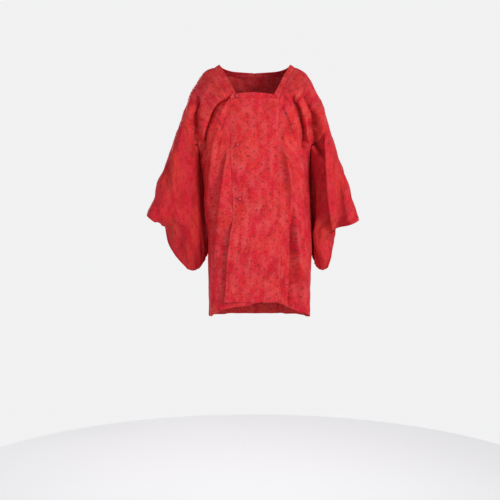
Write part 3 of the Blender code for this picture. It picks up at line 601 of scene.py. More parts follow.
def inner_edge_start():
    """How far the chest is from the section table where the collar frame begins."""
    corner = columns(BODY_SECTIONS, np.array([OVERLAP_TOP]), 1, 3)
    return chest(corner[:, 0], corner[:, 2]) - corner[:, 1]


def lifted(points, side, along, share):
    """The wearer's left front lies over the right."""
    points[..., 1] -= (side > 0) * LAYER * ease(along / OVERLAP_TOP) * share
    return points


def at_hem(along, top=0.80):
    """1 at the front hem (station -1), 0 from station -top on."""
    return ease((-along - top) / (1.0 - top))


def inner_edge(side, along):
    """The panel's edge at the neck, the overlap seam or the centre back, with the wearer's left in +X."""
    inner = columns(BODY_SECTIONS, along, 1, 3)
    inner[..., 2] -= (side < 0) * RIGHT_HEM_DROP * at_hem(along)
    start = inner_edge_start()
    above = inner[..., 1] + start * ease(1.0 - (along - OVERLAP_TOP) / 0.06)
    inner[..., 1] = np.where(along <= OVERLAP_TOP, chest(inner[..., 0], inner[..., 2]), above)
    return inner


def body_form(side, across, along):
    """The body panel of one side without its folds: across from the inner edge, along from the front hem."""
    inner = inner_edge(side, along)
    corner = columns(BODY_SECTIONS, along, 4, 3)
    outer = columns(BODY_SECTIONS, along, 7, 3)
    slope = inner[..., 1] + chest_slope(inner[..., 0], inner[..., 2]) * (corner[..., 0] - inner[..., 0])
    corner[..., 1] += (slope - corner[..., 1]) * ease((OVERLAP_TOP - along) / 0.05)
    corner[..., 2] -= (side > 0) * LEFT_CORNER_DROP * at_hem(along)
    share = across[..., None]
    points = inner * (1 - share) ** 2 + 2 * corner * share * (1 - share) + outer * share ** 2
    points = lifted(points, side, along, ease(1.0 - (across - 0.1) / 0.6))
    outer_part = ease((across - HEM_STEP_START) / 0.05) * at_hem(along, 0.92) * ease((1 - across) / 0.2)
    points[..., 2] -= (side < 0) * HEM_STEP * outer_part
    points[..., 0] *= side
    return swayed(points)


def overlap_form(side, across, along):
    """An overlap panel without its folds: across from the wearer's right, along the body's stations."""
    seam = inner_edge(side, along)
    edges = np.array(OVERLAP_EDGES)
    free = smooth(along, edges[:, 0], edges[:, 1 if side > 0 else 2])
    arch = OVERLAP_ARCH * ease((along + 0.20) / 0.055) * np.sin(math.pi * across)
    if side > 0:
        x = free + across * (seam[..., 0] - free)
        z = seam[..., 2] + arch
        lift = LAYER
    else:
        x = -seam[..., 0] + across * (free + seam[..., 0])
        z = seam[..., 2] + RIGHT_HEM_DROP * at_hem(along) * ease(across / 0.6) + arch
        lift = 0.0
    return swayed(np.stack([x, chest(x, z) - lift, z], axis=-1))


def collar_side_form(side, across, along):
    """The band from the front corner to the back: across from the neck, along the body's stations."""
    along = np.clip(along, OVERLAP_TOP, BACK_NECK)
    neck = columns(NECK_EDGE, along, 1, 3)
    step = chest(neck[..., 0], neck[..., 2]) - neck[..., 1]
    neck[..., 1] += step * ease(1.0 - (along - OVERLAP_TOP) / 0.03)
    points = neck + across[..., None] * (inner_edge(side, along) - neck)
    points = lifted(points, side, along, 1.0)
    points[..., 0] *= side
    return swayed(points)


def collar_front_form(side, across, along):
    """The band on top of an overlap panel: across in the panel's own measure, along up to the neck."""
    corner = np.array(NECK_EDGE[0][1:])
    low = overlap_form(side, across, np.full_like(across, OVERLAP_TOP))
    free = FRONT_BAND_FREE[0] if side > 0 else FRONT_BAND_FREE[1]
    ends = (free, corner[0]) if side > 0 else (-corner[0], free)
    high_x = ends[0] + across * (ends[1] - ends[0])
    high_z = corner[2] + FRONT_BAND_ARCH * np.sin(math.pi * across)
    x = low[..., 0] + along * (high_x - low[..., 0])
    z = low[..., 2] + along * (high_z - low[..., 2])
    return np.stack([x, chest(x, z) - LAYER * (side > 0), z], axis=-1)


def sleeve_loops(table, drop, shares):
    """The loop's middle and half depth at a drop, mixed from the three lines of sections."""
    return sum(columns(table, drop, 1 + 4 * k, 4) * share[..., None] for k, share in enumerate(shares))


def flank_beside(z, side):
    """How far out the body's flank is beside the sleeve bag at a height."""
    outline = np.array(BODY_SECTIONS)[3:0:-1]
    flank = np.interp(-z, -outline[:, 9], outline[:, 7])
    return flank + side * SWAY * ease((SWAY_TOP - z) / SWAY_SPAN) + BAG_GAP - flank_draw(z, side)


def sleeve_form(table, side, length, around):
    """A sleeve without its folds: along the arm from the armhole, around from the arm line by the front."""
    drop = 1.0 - np.abs(1.0 - 2.0 * around)
    front = np.where(around < 0.5 + STEP * 0.1, -1.0, 1.0)
    places = (2 * (length - 0.5) * (length - 1), -4 * length * (length - 1), 2 * length * (length - 0.5))
    runs = (4 * length - 3, 4 - 8 * length, 4 * length - 1)
    start = (np.ones_like(length), np.zeros_like(length), np.zeros_like(length))
    middle, run, edge = (sleeve_loops(table, drop, shares) for shares in (places, runs, start))
    top = np.sqrt(1.0 - (1.0 - np.clip(drop / TOP_ROUNDING, 0.0, 1.0)) ** 2)
    foot = np.sqrt(1.0 - np.clip((drop - 1.0 + FOOT_ROUNDING) / FOOT_ROUNDING, 0.0, 1.0) ** 2)
    least = np.where(np.abs(drop - 0.5) < 0.5 - STEP, SLEEVE_THIN, 0.0)
    turn = np.arctan2(run[..., 1], np.maximum(run[..., 0], STEP))
    turn = turn * BAG_TURN * ease((drop - CUFF_SHARE + 0.05) / 0.30) * ease(length / 0.6)
    shut = ease((length - 0.93) / 0.07) * ease((drop - CUFF_SHARE - 0.01) / 0.04)
    half = np.maximum(middle[..., 3] * top * foot, least) * (1.0 - shut) * front
    points = middle[..., :3].copy()
    points[..., 0] -= half * np.sin(turn)
    points[..., 1] += half * np.cos(turn)
    station = ARMHOLE_END * front * np.clip(drop / CUFF_SHARE, 0.0, 1.0)
    seam = body_form(side, np.ones_like(station), station)
    seam[..., 0] *= side
    edge_points = edge[..., :3].copy()
    edge_points[..., 1] += np.maximum(edge[..., 3] * top * foot, least) * front
    near_body = (1.0 - length) ** 2
    sewn = ease((CUFF_SHARE + 0.03 - drop) / 0.03) * near_body
    points = points + (seam - edge_points) * sewn[..., None]
    draw_in = (flank_beside(edge[..., 2], side) - edge_points[..., 0]) * ease((drop - CUFF_SHARE) / 0.03)
    points[..., 0] += draw_in * near_body
    if side < 0:
        bulge = FOREARM_BULGE * np.exp(-(((length - FOREARM_PLACE) / 0.11) ** 2))
        bulge = bulge + WRIST_FLARE * ease((length - 0.82) / 0.18)
        points[..., 0] += bulge * (1.0 - ease(drop / 0.30))
    points[..., 0] *= side
    return points


def spaced(start, end, step):
    """Places from start to end about a step apart, without the last."""
    return np.linspace(start, end, max(2, int(round(abs(end - start) / step)) + 1))[:-1]


def grid_normals(points):
    """Unit normals of a grid of points."""
    normal = np.cross(np.gradient(points, axis=1), np.gradient(points, axis=0))
    return normal / np.maximum(np.linalg.norm(normal, axis=-1, keepdims=True), 1e-12)


def run_lengths(points, axis):
    """Distance run over the grid along an axis, from its start."""
    steps = np.linalg.norm(np.diff(points, axis=axis), axis=-1)
    total = np.cumsum(steps, axis=axis)
    pad = [(0, 0), (0, 0)]
    pad[axis] = (1, 0)
    return np.pad(total, pad)


def facing_front(points, row, column):
    """Unit normals of a panel's grid, on the side where the one at the row and column faces the front."""
    normals = grid_normals(points)
    return -normals if normals[row, column, 1] > 0.0 else normals


def facing_as(points, normals):
    """Unit normals of a moved grid, on the side that the given ones are on."""
    moved = grid_normals(points)
    return -moved if (moved * normals).sum() < 0.0 else moved


def cloth(name, points, normals, wall, uv, skin):
    """A thin closed shell on a grid of outer points, with rolled edges; its UV map is the cut."""
    rows, cols = points.shape[:2]
    inner = points - normals * wall
    count = rows * cols
    index = np.arange(count).reshape(rows, cols)
    edge = np.concatenate([index[0, :-1], index[:-1, -1], index[-1, :0:-1], index[:0:-1, 0]])
    r, c = np.divmod(edge, cols)
    toward_r, toward_c = np.clip(r, 1, rows - 2), np.clip(c, 1, cols - 2)
    out = points[r, c] - points[toward_r, toward_c]
    out = out / np.maximum(np.linalg.norm(out, axis=-1, keepdims=True), 1e-12)
    rim = (points[r, c] + inner[r, c]) / 2 + out * wall * RIM_REACH
    every = np.concatenate([points.reshape(-1, 3), inner.reshape(-1, 3), rim])
    flat_uv = uv.reshape(-1, 2)
    every_uv = np.concatenate([flat_uv, flat_uv, uv[r, c]])
    a, b = index[:-1, :-1].ravel(), index[:-1, 1:].ravel()
    d, e = index[1:, :-1].ravel(), index[1:, 1:].ravel()
    outside = np.stack([a, b, e, d], axis=1)
    inside = np.stack([a, d, e, b], axis=1) + count
    after = np.roll(edge, -1)
    middle = 2 * count + np.arange(len(edge))
    middle_after = np.roll(middle, -1)
    rims = np.concatenate([
        np.stack([edge, middle, middle_after, after], axis=1),
        np.stack([middle, edge + count, after + count, middle_after], axis=1),
    ])
    faces = np.concatenate([outside, inside, rims])
    corner = every[faces]
    volume = sum((corner[:, 0] * np.cross(corner[:, k], corner[:, k + 1])).sum() for k in (1, 2))
    if volume < 0.0:
        faces = faces[:, ::-1]
    mesh = bpy.data.meshes.new(name)
    mesh.from_pydata(every.tolist(), [], faces.tolist())
    mesh.polygons.foreach_set("use_smooth", [True] * len(faces))
    layer = mesh.uv_layers.new(name="cut")
    layer.data.foreach_set("uv", every_uv[faces.ravel()].ravel())
    mesh.materials.append(skin)
    mesh.update()
    made = bpy.data.objects.new(name, mesh)
    bpy.context.collection.objects.link(made)
    return made


def seam_hollow(distance):
    """A soft hollow along a seam."""
    settings = bpy.context.scene.coat_cloth
    return -settings.seam_depth * np.exp(-((distance / settings.seam_width) ** 2))


def declare(node, points, normals, wall, uv, skin):
    """Makes the cloth of a node: it rides on the one body, and the node's own part is hidden."""
    piece = cloth(node + "_silk", points, normals, wall, uv, skin)
    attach(piece, "root")
    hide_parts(node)
    return piece


def body_stations():
    """Stations of a body panel's rows from the front hem to the back hem, closest over the chest."""
    parts = [
        np.array([-1.0, -0.997, -0.992]),
        spaced(-0.985, -0.32, 0.0080),
        spaced(-0.32, OVERLAP_TOP, 0.0026),
        spaced(OVERLAP_TOP, 0.0, 0.0028),
        spaced(0.0, BACK_NECK, 0.0040),
        spaced(BACK_NECK, 0.43, 0.0060),
        spaced(0.43, 0.985, 0.0085),
        np.array([0.985, 0.992, 0.997, 1.0]),
    ]
    return np.concatenate(parts)


def across_places(count):
    """Places over a panel's width, close together at both edges."""
    places = list(np.linspace(0.0, 1.0, count + 1))
    for edge in (0.25 / count, 0.6 / count):
        places += [edge, 1.0 - edge]
    return np.array(sorted(places))


def body_hollows(along, from_inner, from_outer):
    """Depth of the hollows at a body panel's seams: the overlap or collar, the armhole and the side."""
    open_side = ease((np.abs(along) - ARMHOLE_END) / 0.01) * ease((UNDERARM_END - np.abs(along)) / 0.01)
    side_seam = ease((np.abs(along) - UNDERARM_END) / 0.01)
    at_collar = ease((along - OVERLAP_TOP) / 0.01) * ease((BACK_NECK - along) / 0.01)
    hollow = seam_hollow(from_inner) * (0.35 - 0.20 * at_collar) + seam_hollow(from_outer) * side_seam
    return hollow + ARMHOLE_HOLLOW * seam_hollow(from_outer) * (1.0 - side_seam) * (1.0 - open_side)


def make_body(name, side, skin, seed):
    """One body panel with its folds, from the front hem over the shoulder to the back hem."""
    settings = bpy.context.scene.coat_cloth
    along, across = np.meshgrid(body_stations(), across_places(104), indexing="ij")
    form = body_form(side, across, along)
    normal = facing_front(form, 10, 50)
    from_inner = run_lengths(form, 1)
    from_outer = from_inner[:, -1:] - from_inner
    length_run = run_lengths(form, 0).mean(axis=1, keepdims=True)
    uv = np.stack([CUTS[name][0] - from_outer, np.broadcast_to(length_run, across.shape)], axis=-1)
    sewn = armhole_share(along)
    edges = ease(from_inner / 0.012) * np.maximum(ease(from_outer / 0.030), sewn)
    if side < 0:
        free_edge = np.array(OVERLAP_EDGES)
        free_x = smooth(along, free_edge[:, 0], free_edge[:, 1])
        cover = swayed(np.stack([free_x, form[..., 1], form[..., 2]], axis=-1))
        edges = edges * np.where(along < OVERLAP_TOP, ease((cover[..., 0] - form[..., 0]) / 0.014), 1.0)
    front, back = ease(-along / 0.085), ease(along / 0.085)
    front_height, front_drawn = side_relief(form, side, True)
    back_height, back_drawn = side_relief(form, side, False)
    height = (front * front_height + back * back_height) * edges
    drawn = (front[..., None] * front_drawn + back[..., None] * back_drawn) * edges[..., None]
    height += creases(uv, seed, settings.crease) * ease(from_inner / 0.02) * ease(from_outer / 0.02)
    points = pushed(form, normal, height, drawn, sewn * ease(1.0 - from_outer / 0.04))
    points += normal * body_hollows(along, from_inner, from_outer)[..., None]
    return declare(name, points, facing_as(points, normal), settings.wall, uv, skin)


def make_overlap(name, side, skin, seed):
    """One overlap panel; the outer one has creases, soft folds and a free edge that lifts off below."""
    settings = bpy.context.scene.coat_cloth
    stations = body_stations()
    stations = stations[stations <= OVERLAP_TOP + STEP]
    along, across = np.meshgrid(stations, across_places(56), indexing="ij")
    form = overlap_form(side, across, along)
    normal = facing_front(form, 10, 20)
    from_right = run_lengths(form, 1)
    from_left = from_right[:, -1:] - from_right
    from_seam, from_free = (from_left, from_right) if side > 0 else (from_right, from_left)
    length_run = run_lengths(form, 0).mean(axis=1, keepdims=True)
    from_top = length_run[-1] - length_run
    uv = np.stack([from_right + 0.05, np.broadcast_to(length_run, across.shape)], axis=-1)
    height = 0.35 * seam_hollow(from_seam) + seam_hollow(from_top)
    if side > 0:
        lift = ease((-form[..., 2] - 0.475) / 0.060)
        rest = (1.0 - lift) * ease(from_top / 0.02)
        height -= EDGE_REST * rest * np.exp(-((from_free / 0.015) ** 2))
        height += EDGE_LIFT * lift * np.exp(-((from_free / 0.028) ** 2))
        soft = np.maximum(creases(uv, seed, settings.crease), -CREASE_FLOOR)
        height += soft * ease(from_seam / 0.02) * ease(from_top / 0.02)
        bow = ease(from_seam / 0.03) * ease(from_free / 0.012) * ease(from_top / 0.05)
        height += bow * np.maximum(relief(form, OVERLAP_FOLDS)[0], -FOLD_FLOOR)
    points = form + normal * height[..., None]
    return declare(name, points, facing_as(points, normal), settings.wall, uv, skin)


def make_sleeve(name, table, side, skin, seed):
    """One sleeve with its folds: a tube from the foot of the bag by the front, the arm line and the back."""
    settings = bpy.context.scene.coat_cloth
    top = TOP_ROUNDING * (1.0 - np.cos(np.linspace(0.0, 0.5 * math.pi, 15)))[:-1]
    bottom = 1.0 - FOOT_ROUNDING * (1.0 - np.sin(np.linspace(0.0, 0.5 * math.pi, 9)))
    drop = np.concatenate([top, spaced(TOP_ROUNDING, 1.0 - FOOT_ROUNDING, 0.0075), bottom])
    around = np.concatenate([drop[::-1] / 2, 1.0 - drop[1:] / 2])
    length, around = np.meshgrid(across_places(96), around, indexing="ij")
    form = sleeve_form(table, side, length, around)
    normal = facing_as(form, form - form.mean(axis=1, keepdims=True))
    arm = len(drop) - 1
    length_run = run_lengths(form, 0)
    around_run = run_lengths(form, 1)
    around_run = around_run - around_run[:, arm:arm + 1]
    uv = np.stack([length_run.mean(axis=1, keepdims=True) + 0 * around_run, around_run], axis=-1)
    share = 1.0 - np.abs(1.0 - 2.0 * around)
    station = ARMHOLE_END * np.clip(share / CUFF_SHARE, 0.0, 1.0)
    sewn = armhole_share(station) * (share < CUFF_SHARE)
    front = around < 0.5
    front_height, front_drawn = side_relief(form, side, True)
    back_height, back_drawn = side_relief(form, side, False)
    height = np.where(front, front_height, back_height)
    drawn = np.where(front[..., None], front_drawn, back_drawn)
    closed = ease((share - CUFF_SHARE + 0.03) / 0.05) * ease((length - 0.80) / 0.20)
    fade = np.maximum(ease(length / 0.14), sewn) * ease(station / 0.085) * ease((1.0 - share) / 0.10)
    fade = fade * (1.0 - 0.85 * closed)
    square = sewn * ease(1.0 - length_run / 0.05)
    points = pushed(form, normal, height * fade, drawn * fade[..., None], square)
    open_part = ease(length / 0.08) * ease((1.0 - length) / 0.05) * (1 - closed)
    hollow = creases(uv, seed, settings.crease) * open_part
    hollow += ARMHOLE_HOLLOW * seam_hollow(length_run) * (share < CUFF_SHARE)
    points += normal * hollow[..., None]
    normals = facing_as(points, points - points.mean(axis=1, keepdims=True))
    normals[:, 0] = normals[:, 0] + normals[:, -1]
    normals[:, 0] /= np.maximum(np.linalg.norm(normals[:, 0], axis=-1, keepdims=True), 1e-9)
    normals[:, -1] = normals[:, 0]
    return declare(name, points, normals, settings.wall * SLEEVE_WALL, uv, skin)


def make_collar_side(name, side, skin):
    """The collar band of one side, from the front corner round to the centre back."""
    settings = bpy.context.scene.coat_cloth
    stations = body_stations()
    stations = stations[(stations >= OVERLAP_TOP - STEP) & (stations <= BACK_NECK + STEP)]
    along, across = np.meshgrid(stations, across_places(10), indexing="ij")
    form = collar_side_form(side, across, along)
    normal = facing_front(form, 2, 5)
    width_run = run_lengths(form, 1)
    length_run = run_lengths(form, 0).mean(axis=1, keepdims=True)
    puff = 0.0004 * np.sin(math.pi * across)
    height = puff + 0.15 * seam_hollow(width_run[:, -1:] - width_run)
    points = form + normal * height[..., None]
    uv = np.stack([width_run + 0.02, np.broadcast_to(length_run, across.shape)], axis=-1)
    return declare(name, points, facing_as(points, normal), settings.collar_wall, uv, skin)


def make_collar_front(name, side, skin):
    """The collar band along the top of an overlap panel."""
    settings = bpy.context.scene.coat_cloth
    along, across = np.meshgrid(across_places(9), across_places(56), indexing="ij")
    form = collar_front_form(side, across, along)
    normal = facing_front(form, 2, 5)
    height_run = run_lengths(form, 0)
    width_run = run_lengths(form, 1)
    puff = 0.0010 * np.sin(math.pi * along) + 0.0003
    points = form + normal * (puff + 0.8 * seam_hollow(height_run))[..., None]
    uv = np.stack([width_run + 0.05, height_run + 0.01], axis=-1)
    return declare(name, points, facing_as(points, normal), settings.collar_wall, uv, skin)


def node_of(tree, kind, **values):
    """Adds a shader node with the given settings."""
    made = tree.nodes.new(kind)
    for key, value in values.items():
        setattr(made, key, value)
    return made


def maths(tree, operation, first, second=None, third=None, clamp=False):
    """A maths node's output; each value is a number or another node's output."""
    made = node_of(tree, "ShaderNodeMath", operation=operation, use_clamp=clamp)
    for socket, value in zip(made.inputs, (first, second, third)):
        if isinstance(value, (int, float)):
            socket.default_value = value
        elif value is not None:
            tree.links.new(value, socket)
    return made.outputs[0]


def noise(tree, vector, scale, detail, rough):
    """Soft noise of a scale, in waves for each metre."""
    made = node_of(tree, "ShaderNodeTexNoise")
    made.inputs["Scale"].default_value = scale
    made.inputs["Detail"].default_value = detail
    made.inputs["Roughness"].default_value = rough
    tree.links.new(vector, made.inputs["Vector"])
    return made.outputs["Fac"]


def ramp(tree, value, low, high):
    """A soft step from 0 at low to 1 at high."""
    made = node_of(tree, "ShaderNodeMapRange", interpolation_type="SMOOTHSTEP")
    made.inputs["From Min"].default_value = low
    made.inputs["From Max"].default_value = high
    tree.links.new(value, made.inputs["Value"])
    return made.outputs["Result"]


def blend_colour(tree, share, first, second):
    """The first colour blended with the second by a share; a colour is a tuple or another node's output."""
    made = node_of(tree, "ShaderNodeMix", data_type="RGBA", blend_type="MIX")
    tree.links.new(share, made.inputs[0])
    for socket, value in ((made.inputs[6], first), (made.inputs[7], second)):
        if isinstance(value, tuple):
            socket.default_value = value
        else:
            tree.links.new(value, socket)
    return made.outputs[2]


def mapped(tree, vector, socket, value):
    """The vector moved or scaled."""
    made = node_of(tree, "ShaderNodeMapping")
    made.inputs[socket].default_value = value
    tree.links.new(vector, made.inputs["Vector"])
    return made.outputs[0]


def split(tree, vector):
    """The three parts of a vector."""
    made = node_of(tree, "ShaderNodeSeparateXYZ")
    tree.links.new(vector, made.inputs[0])
    return made.outputs


def paired(tree, first, second):
    """A vector made of two values."""
    made = node_of(tree, "ShaderNodeCombineXYZ")
    tree.links.new(first, made.inputs[0])
    tree.links.new(second, made.inputs[1])
    return made.outputs[0]


def opaque(colour):
    """A setting's colour with full cover."""
    return tuple(colour) + (1.0,)


def dot_share(tree, vector):
    """How much a place belongs to a dot: staggered columns of ragged dots, each of its own strength."""
    settings = bpy.context.scene.coat_silk
    calc = functools.partial(maths, tree)
    u, v, _ = split(tree, vector)
    wobble = calc("MULTIPLY_ADD", noise(tree, vector, *GRAINS["dot place"]), 0.0022, -0.0011)
    across = calc("DIVIDE", calc("ADD", u, wobble), settings.dot_columns)
    column = calc("FLOOR", across)
    shift = calc("MULTIPLY", calc("FLOORED_MODULO", column, 2.0), 0.5)
    down = calc("ADD", calc("DIVIDE", v, settings.dot_rows), shift)
    dx = calc("MULTIPLY", calc("SUBTRACT", calc("FRACT", across), 0.5), settings.dot_columns)
    dy = calc("MULTIPLY", calc("SUBTRACT", calc("FRACT", down), 0.5), settings.dot_rows)
    radius = calc("SQRT", calc("ADD", calc("MULTIPLY", dx, dx), calc("MULTIPLY", dy, dy)))
    ragged = calc("MULTIPLY_ADD", noise(tree, vector, *GRAINS["dot edge"]), 0.0020, -0.0010)
    edges = [settings.dot_radius * edge for edge in DOT_EDGES]
    dots = ramp(tree, calc("ADD", radius, ragged), *edges)
    chance = node_of(tree, "ShaderNodeTexWhiteNoise", noise_dimensions="3D")
    tree.links.new(paired(tree, column, calc("FLOOR", down)), chance.inputs["Vector"])
    return calc("MULTIPLY", dots, calc("MULTIPLY_ADD", chance.outputs["Value"], 0.42, 0.30))


def dyed(tree, vector, long_vector, fine, depth):
    """Crimson silk with warmer patches, deeper streaks, a paler bloom and an uneven crepe grain; a depth
    below 1 darkens it as painted shade, one above 1 lightens it as painted highlight.
    """
    settings = bpy.context.scene.coat_silk
    calc = functools.partial(maths, tree)
    u, v, _ = split(tree, vector)
    scale = 1.0 / settings.patch
    patch = ramp(tree, noise(tree, vector, scale, 2.0, 0.45), 0.44, 0.62)
    stepped = calc("MULTIPLY", calc("FLOOR", calc("DIVIDE", u, BLOCK_WIDTH)), 0.37)
    block = ramp(tree, noise(tree, paired(tree, stepped, v), scale * 0.9, 1.0, 0.4), 0.46, 0.60)
    mottle = calc("MULTIPLY_ADD", noise(tree, vector, *GRAINS["mottle"]), 2.6, -1.3)
    warm = calc("MULTIPLY_ADD", block, 0.35, calc("MULTIPLY_ADD", patch, 0.55, 0.05))
    warm = calc("ADD", warm, mottle, clamp=True)
    base = blend_colour(tree, warm, opaque(settings.crimson), opaque(settings.vermilion))
    deep = ramp(tree, noise(tree, long_vector, *GRAINS["deep streaks"]), 0.56, 0.36)
    base = blend_colour(tree, calc("MULTIPLY", deep, 0.50), base, DEEP_DYE)
    pale = calc("MULTIPLY_ADD", noise(tree, long_vector, *GRAINS["pale clouds"]), 2.5, -1.92)
    pale = calc("MULTIPLY_ADD", noise(tree, vector, *GRAINS["pale grain"]), 1.9, pale, clamp=True)
    # Painted shade: in silk darkened by a depth below 1, the pale bloom fades out.
    bloom = max(0.0, BLOOM_SHARE - BLOOM_LOSS_IN_PAINTED_SHADE * (1.0 - depth))
    base = blend_colour(tree, calc("MULTIPLY", pale, bloom), base, opaque(settings.bloom))
    speckle = noise(tree, vector, *GRAINS["speckle"])
    level = calc("MULTIPLY_ADD", fine, 0.50, 0.75)
    # Painted light: the depth scales the silk's brightness, below 1 as painted shade, above 1 as painted
    # highlight.
    level = calc("MULTIPLY", level, calc("MULTIPLY_ADD", speckle, 0.64 * depth, 0.68 * depth))
    thread = noise(tree, vector, *GRAINS["thread"])
    level = calc("MULTIPLY", level, calc("MULTIPLY_ADD", thread, 0.40, 0.80))
    tone = node_of(tree, "ShaderNodeHueSaturation")
    tree.links.new(level, tone.inputs["Value"])
    tree.links.new(base, tone.inputs["Color"])
    return tone.outputs[0]


def silk(name, offset, depth=1.0):
    """Dotted silk crepe on the panel's own cut, begun at an offset; a depth below 1 darkens it as painted
    shade, one above 1 lightens it as painted highlight.
    """
    settings = bpy.context.scene.coat_silk
    made = bpy.data.materials.new(name)
    made.use_nodes = True
    tree = made.node_tree
    shader = tree.nodes["Principled BSDF"]
    place = node_of(tree, "ShaderNodeUVMap", uv_map="cut")
    vector = mapped(tree, place.outputs[0], "Location", offset)
    long_vector = mapped(tree, vector, "Scale", LONG_GRAIN)
    fine = noise(tree, vector, *GRAINS["fine grain"])
    base = dyed(tree, vector, long_vector, fine, depth)
    base = blend_colour(tree, dot_share(tree, vector), base, opaque(settings.dot))
    tree.links.new(base, shader.inputs["Base Color"])
    rough = maths(tree, "MULTIPLY_ADD", fine, 0.16, settings.roughness - 0.08)
    tree.links.new(rough, shader.inputs["Roughness"])
    shader.inputs["Specular IOR Level"].default_value = SHEEN
    crepe = noise(tree, long_vector, *GRAINS["crepe"])
    bump = node_of(tree, "ShaderNodeBump")
    bump.inputs["Strength"].default_value = 0.35
    bump.inputs["Distance"].default_value = 0.0006
    tree.links.new(maths(tree, "ADD", crepe, maths(tree, "MULTIPLY", fine, 0.8)), bump.inputs["Height"])
    tree.links.new(bump.outputs[0], shader.inputs["Normal"])
    return made


class COAT_OT_body(bpy.types.Operator):
    """Adds the two body panels, each cut in one length from the front hem to the back hem"""

    bl_idname = "coat.add_body"
    bl_label = "Body panels"

    def execute(self, context):
        # Painted shade: the body panels' silk is darkened a little by its depth of 0.985.
        make_body("body_left", 1, silk("silk_body_left_painted_shade", (0.013, 0.006, 0.0), 0.985), 11)
        make_body("body_right", -1, silk("silk_body_right_painted_shade", (0.004, 0.017, 3.0), 0.985), 12)
        return {"FINISHED"}


class COAT_OT_overlaps(bpy.types.Operator):
    """Adds the two overlap panels that close the front"""

    bl_idname = "coat.add_overlaps"
    bl_label = "Overlap panels"

    def execute(self, context):
        make_overlap("overlap_left", 1, silk("silk_overlap_left", (-0.006, 0.0006, 6.0)), 13)
        make_overlap("overlap_right", -1, silk("silk_overlap_right", (0.008, 0.003, 9.0)), 14)
        return {"FINISHED"}


class COAT_OT_sleeves(bpy.types.Operator):
    """Adds the two sleeves, each one rectangle folded at the arm line"""

    bl_idname = "coat.add_sleeves"
    bl_label = "Sleeves"

    def execute(self, context):
        # Painted shade: the sleeves' silk is darkened by its depths of 0.91 and 0.90.
        left_painted_shade_silk = silk("silk_sleeve_left_painted_shade", (0.010, 0.013, 12.0), 0.91)
        right_painted_shade_silk = silk("silk_sleeve_right_painted_shade", (0.006, 0.008, 15.0), 0.90)
        make_sleeve("sleeve_left", SLEEVE_LEFT, 1, left_painted_shade_silk, 15)
        make_sleeve("sleeve_right", SLEEVE_RIGHT, -1, right_painted_shade_silk, 16)
        return {"FINISHED"}


class COAT_OT_collar(bpy.types.Operator):
    """Adds the narrow collar frame, mitred at the front corners"""

    bl_idname = "coat.add_collar"
    bl_label = "Collar frame"

    def execute(self, context):
        skin = silk("silk_collar", (0.003, 0.009, 18.0))
        make_collar_side("collar_left", 1, skin)
        make_collar_side("collar_right", -1, skin)
        make_collar_front("collar_front", 1, skin)
        make_collar_front("collar_under", -1, skin)
        return {"FINISHED"}


class COAT_OT_buttons(bpy.types.Operator):
    """Adds the cloth-covered caps of the snap buttons"""

    bl_idname = "coat.add_buttons"
    bl_label = "Covered buttons"

    def execute(self, context):
        # Painted highlight: the caps' silk is lightened by its depth of 1.05.
        skin = silk("silk_buttons_painted_highlight", (0.010, 0.021, 21.0), 1.05)
        # Painted shade: the rims' silk is darkened by its depth of 0.62.
        rim = silk("silk_button_rims_painted_shade", (0.010, 0.021, 24.0), 0.62)
        for name, across, along in BUTTONS:
            make_button(name, across, along, skin, rim)
        return {"FINISHED"}


def button_cap(name, width):
    """A flat round cap in front of the origin, its face drawn up in rings to a soft dome."""
    bpy.ops.object.select_all(action="DESELECT")
    bpy.ops.mesh.primitive_cylinder_add(
        vertices=48, radius=width / 2 * 0.985, depth=0.0030,
        location=(0.0, 0.0, 0.0), rotation=(math.pi / 2, 0.0, 0.0),
    )
    piece = bpy.context.active_object
    piece.name = name
    bpy.ops.object.transform_apply(location=True, rotation=True, scale=True)
    bpy.ops.object.mode_set(mode="EDIT")
    bpy.ops.mesh.select_all(action="DESELECT")
    bpy.ops.object.mode_set(mode="OBJECT")
    for face in piece.data.polygons:
        face.select = face.normal.y < -0.9
    bpy.ops.object.mode_set(mode="EDIT")
    for inset, rise in ((0.0008, 0.0006), (0.0014, 0.0006), (0.0020, 0.0004), (0.0018, 0.00015)):
        bpy.ops.mesh.inset(thickness=inset, depth=rise)
    bpy.ops.mesh.poke()
    bpy.ops.mesh.select_all(action="SELECT")
    bpy.ops.uv.smart_project(angle_limit=math.radians(80.0))
    bpy.ops.object.mode_set(mode="OBJECT")
    piece.data.uv_layers[0].name = "cut"
    for entry in piece.data.uv_layers[0].data:
        entry.uv = entry.uv * 0.018
    subdivision = piece.modifiers.new("Round", "SUBSURF")
    subdivision.levels = 2
    subdivision.render_levels = 2
    bpy.ops.object.modifier_apply(modifier=subdivision.name)
    for vertex in piece.data.vertices:
        reach = math.hypot(vertex.co.x, vertex.co.z) / (width / 2)
        turn = math.atan2(vertex.co.z, vertex.co.x)
        gather = math.sin(17 * turn + 0.7 * math.sin(3 * turn))
        vertex.co.y -= BUTTON_PUCKER * float(ease((reach - 0.55) / 0.45)) * gather
    bpy.ops.object.shade_smooth()
    return piece


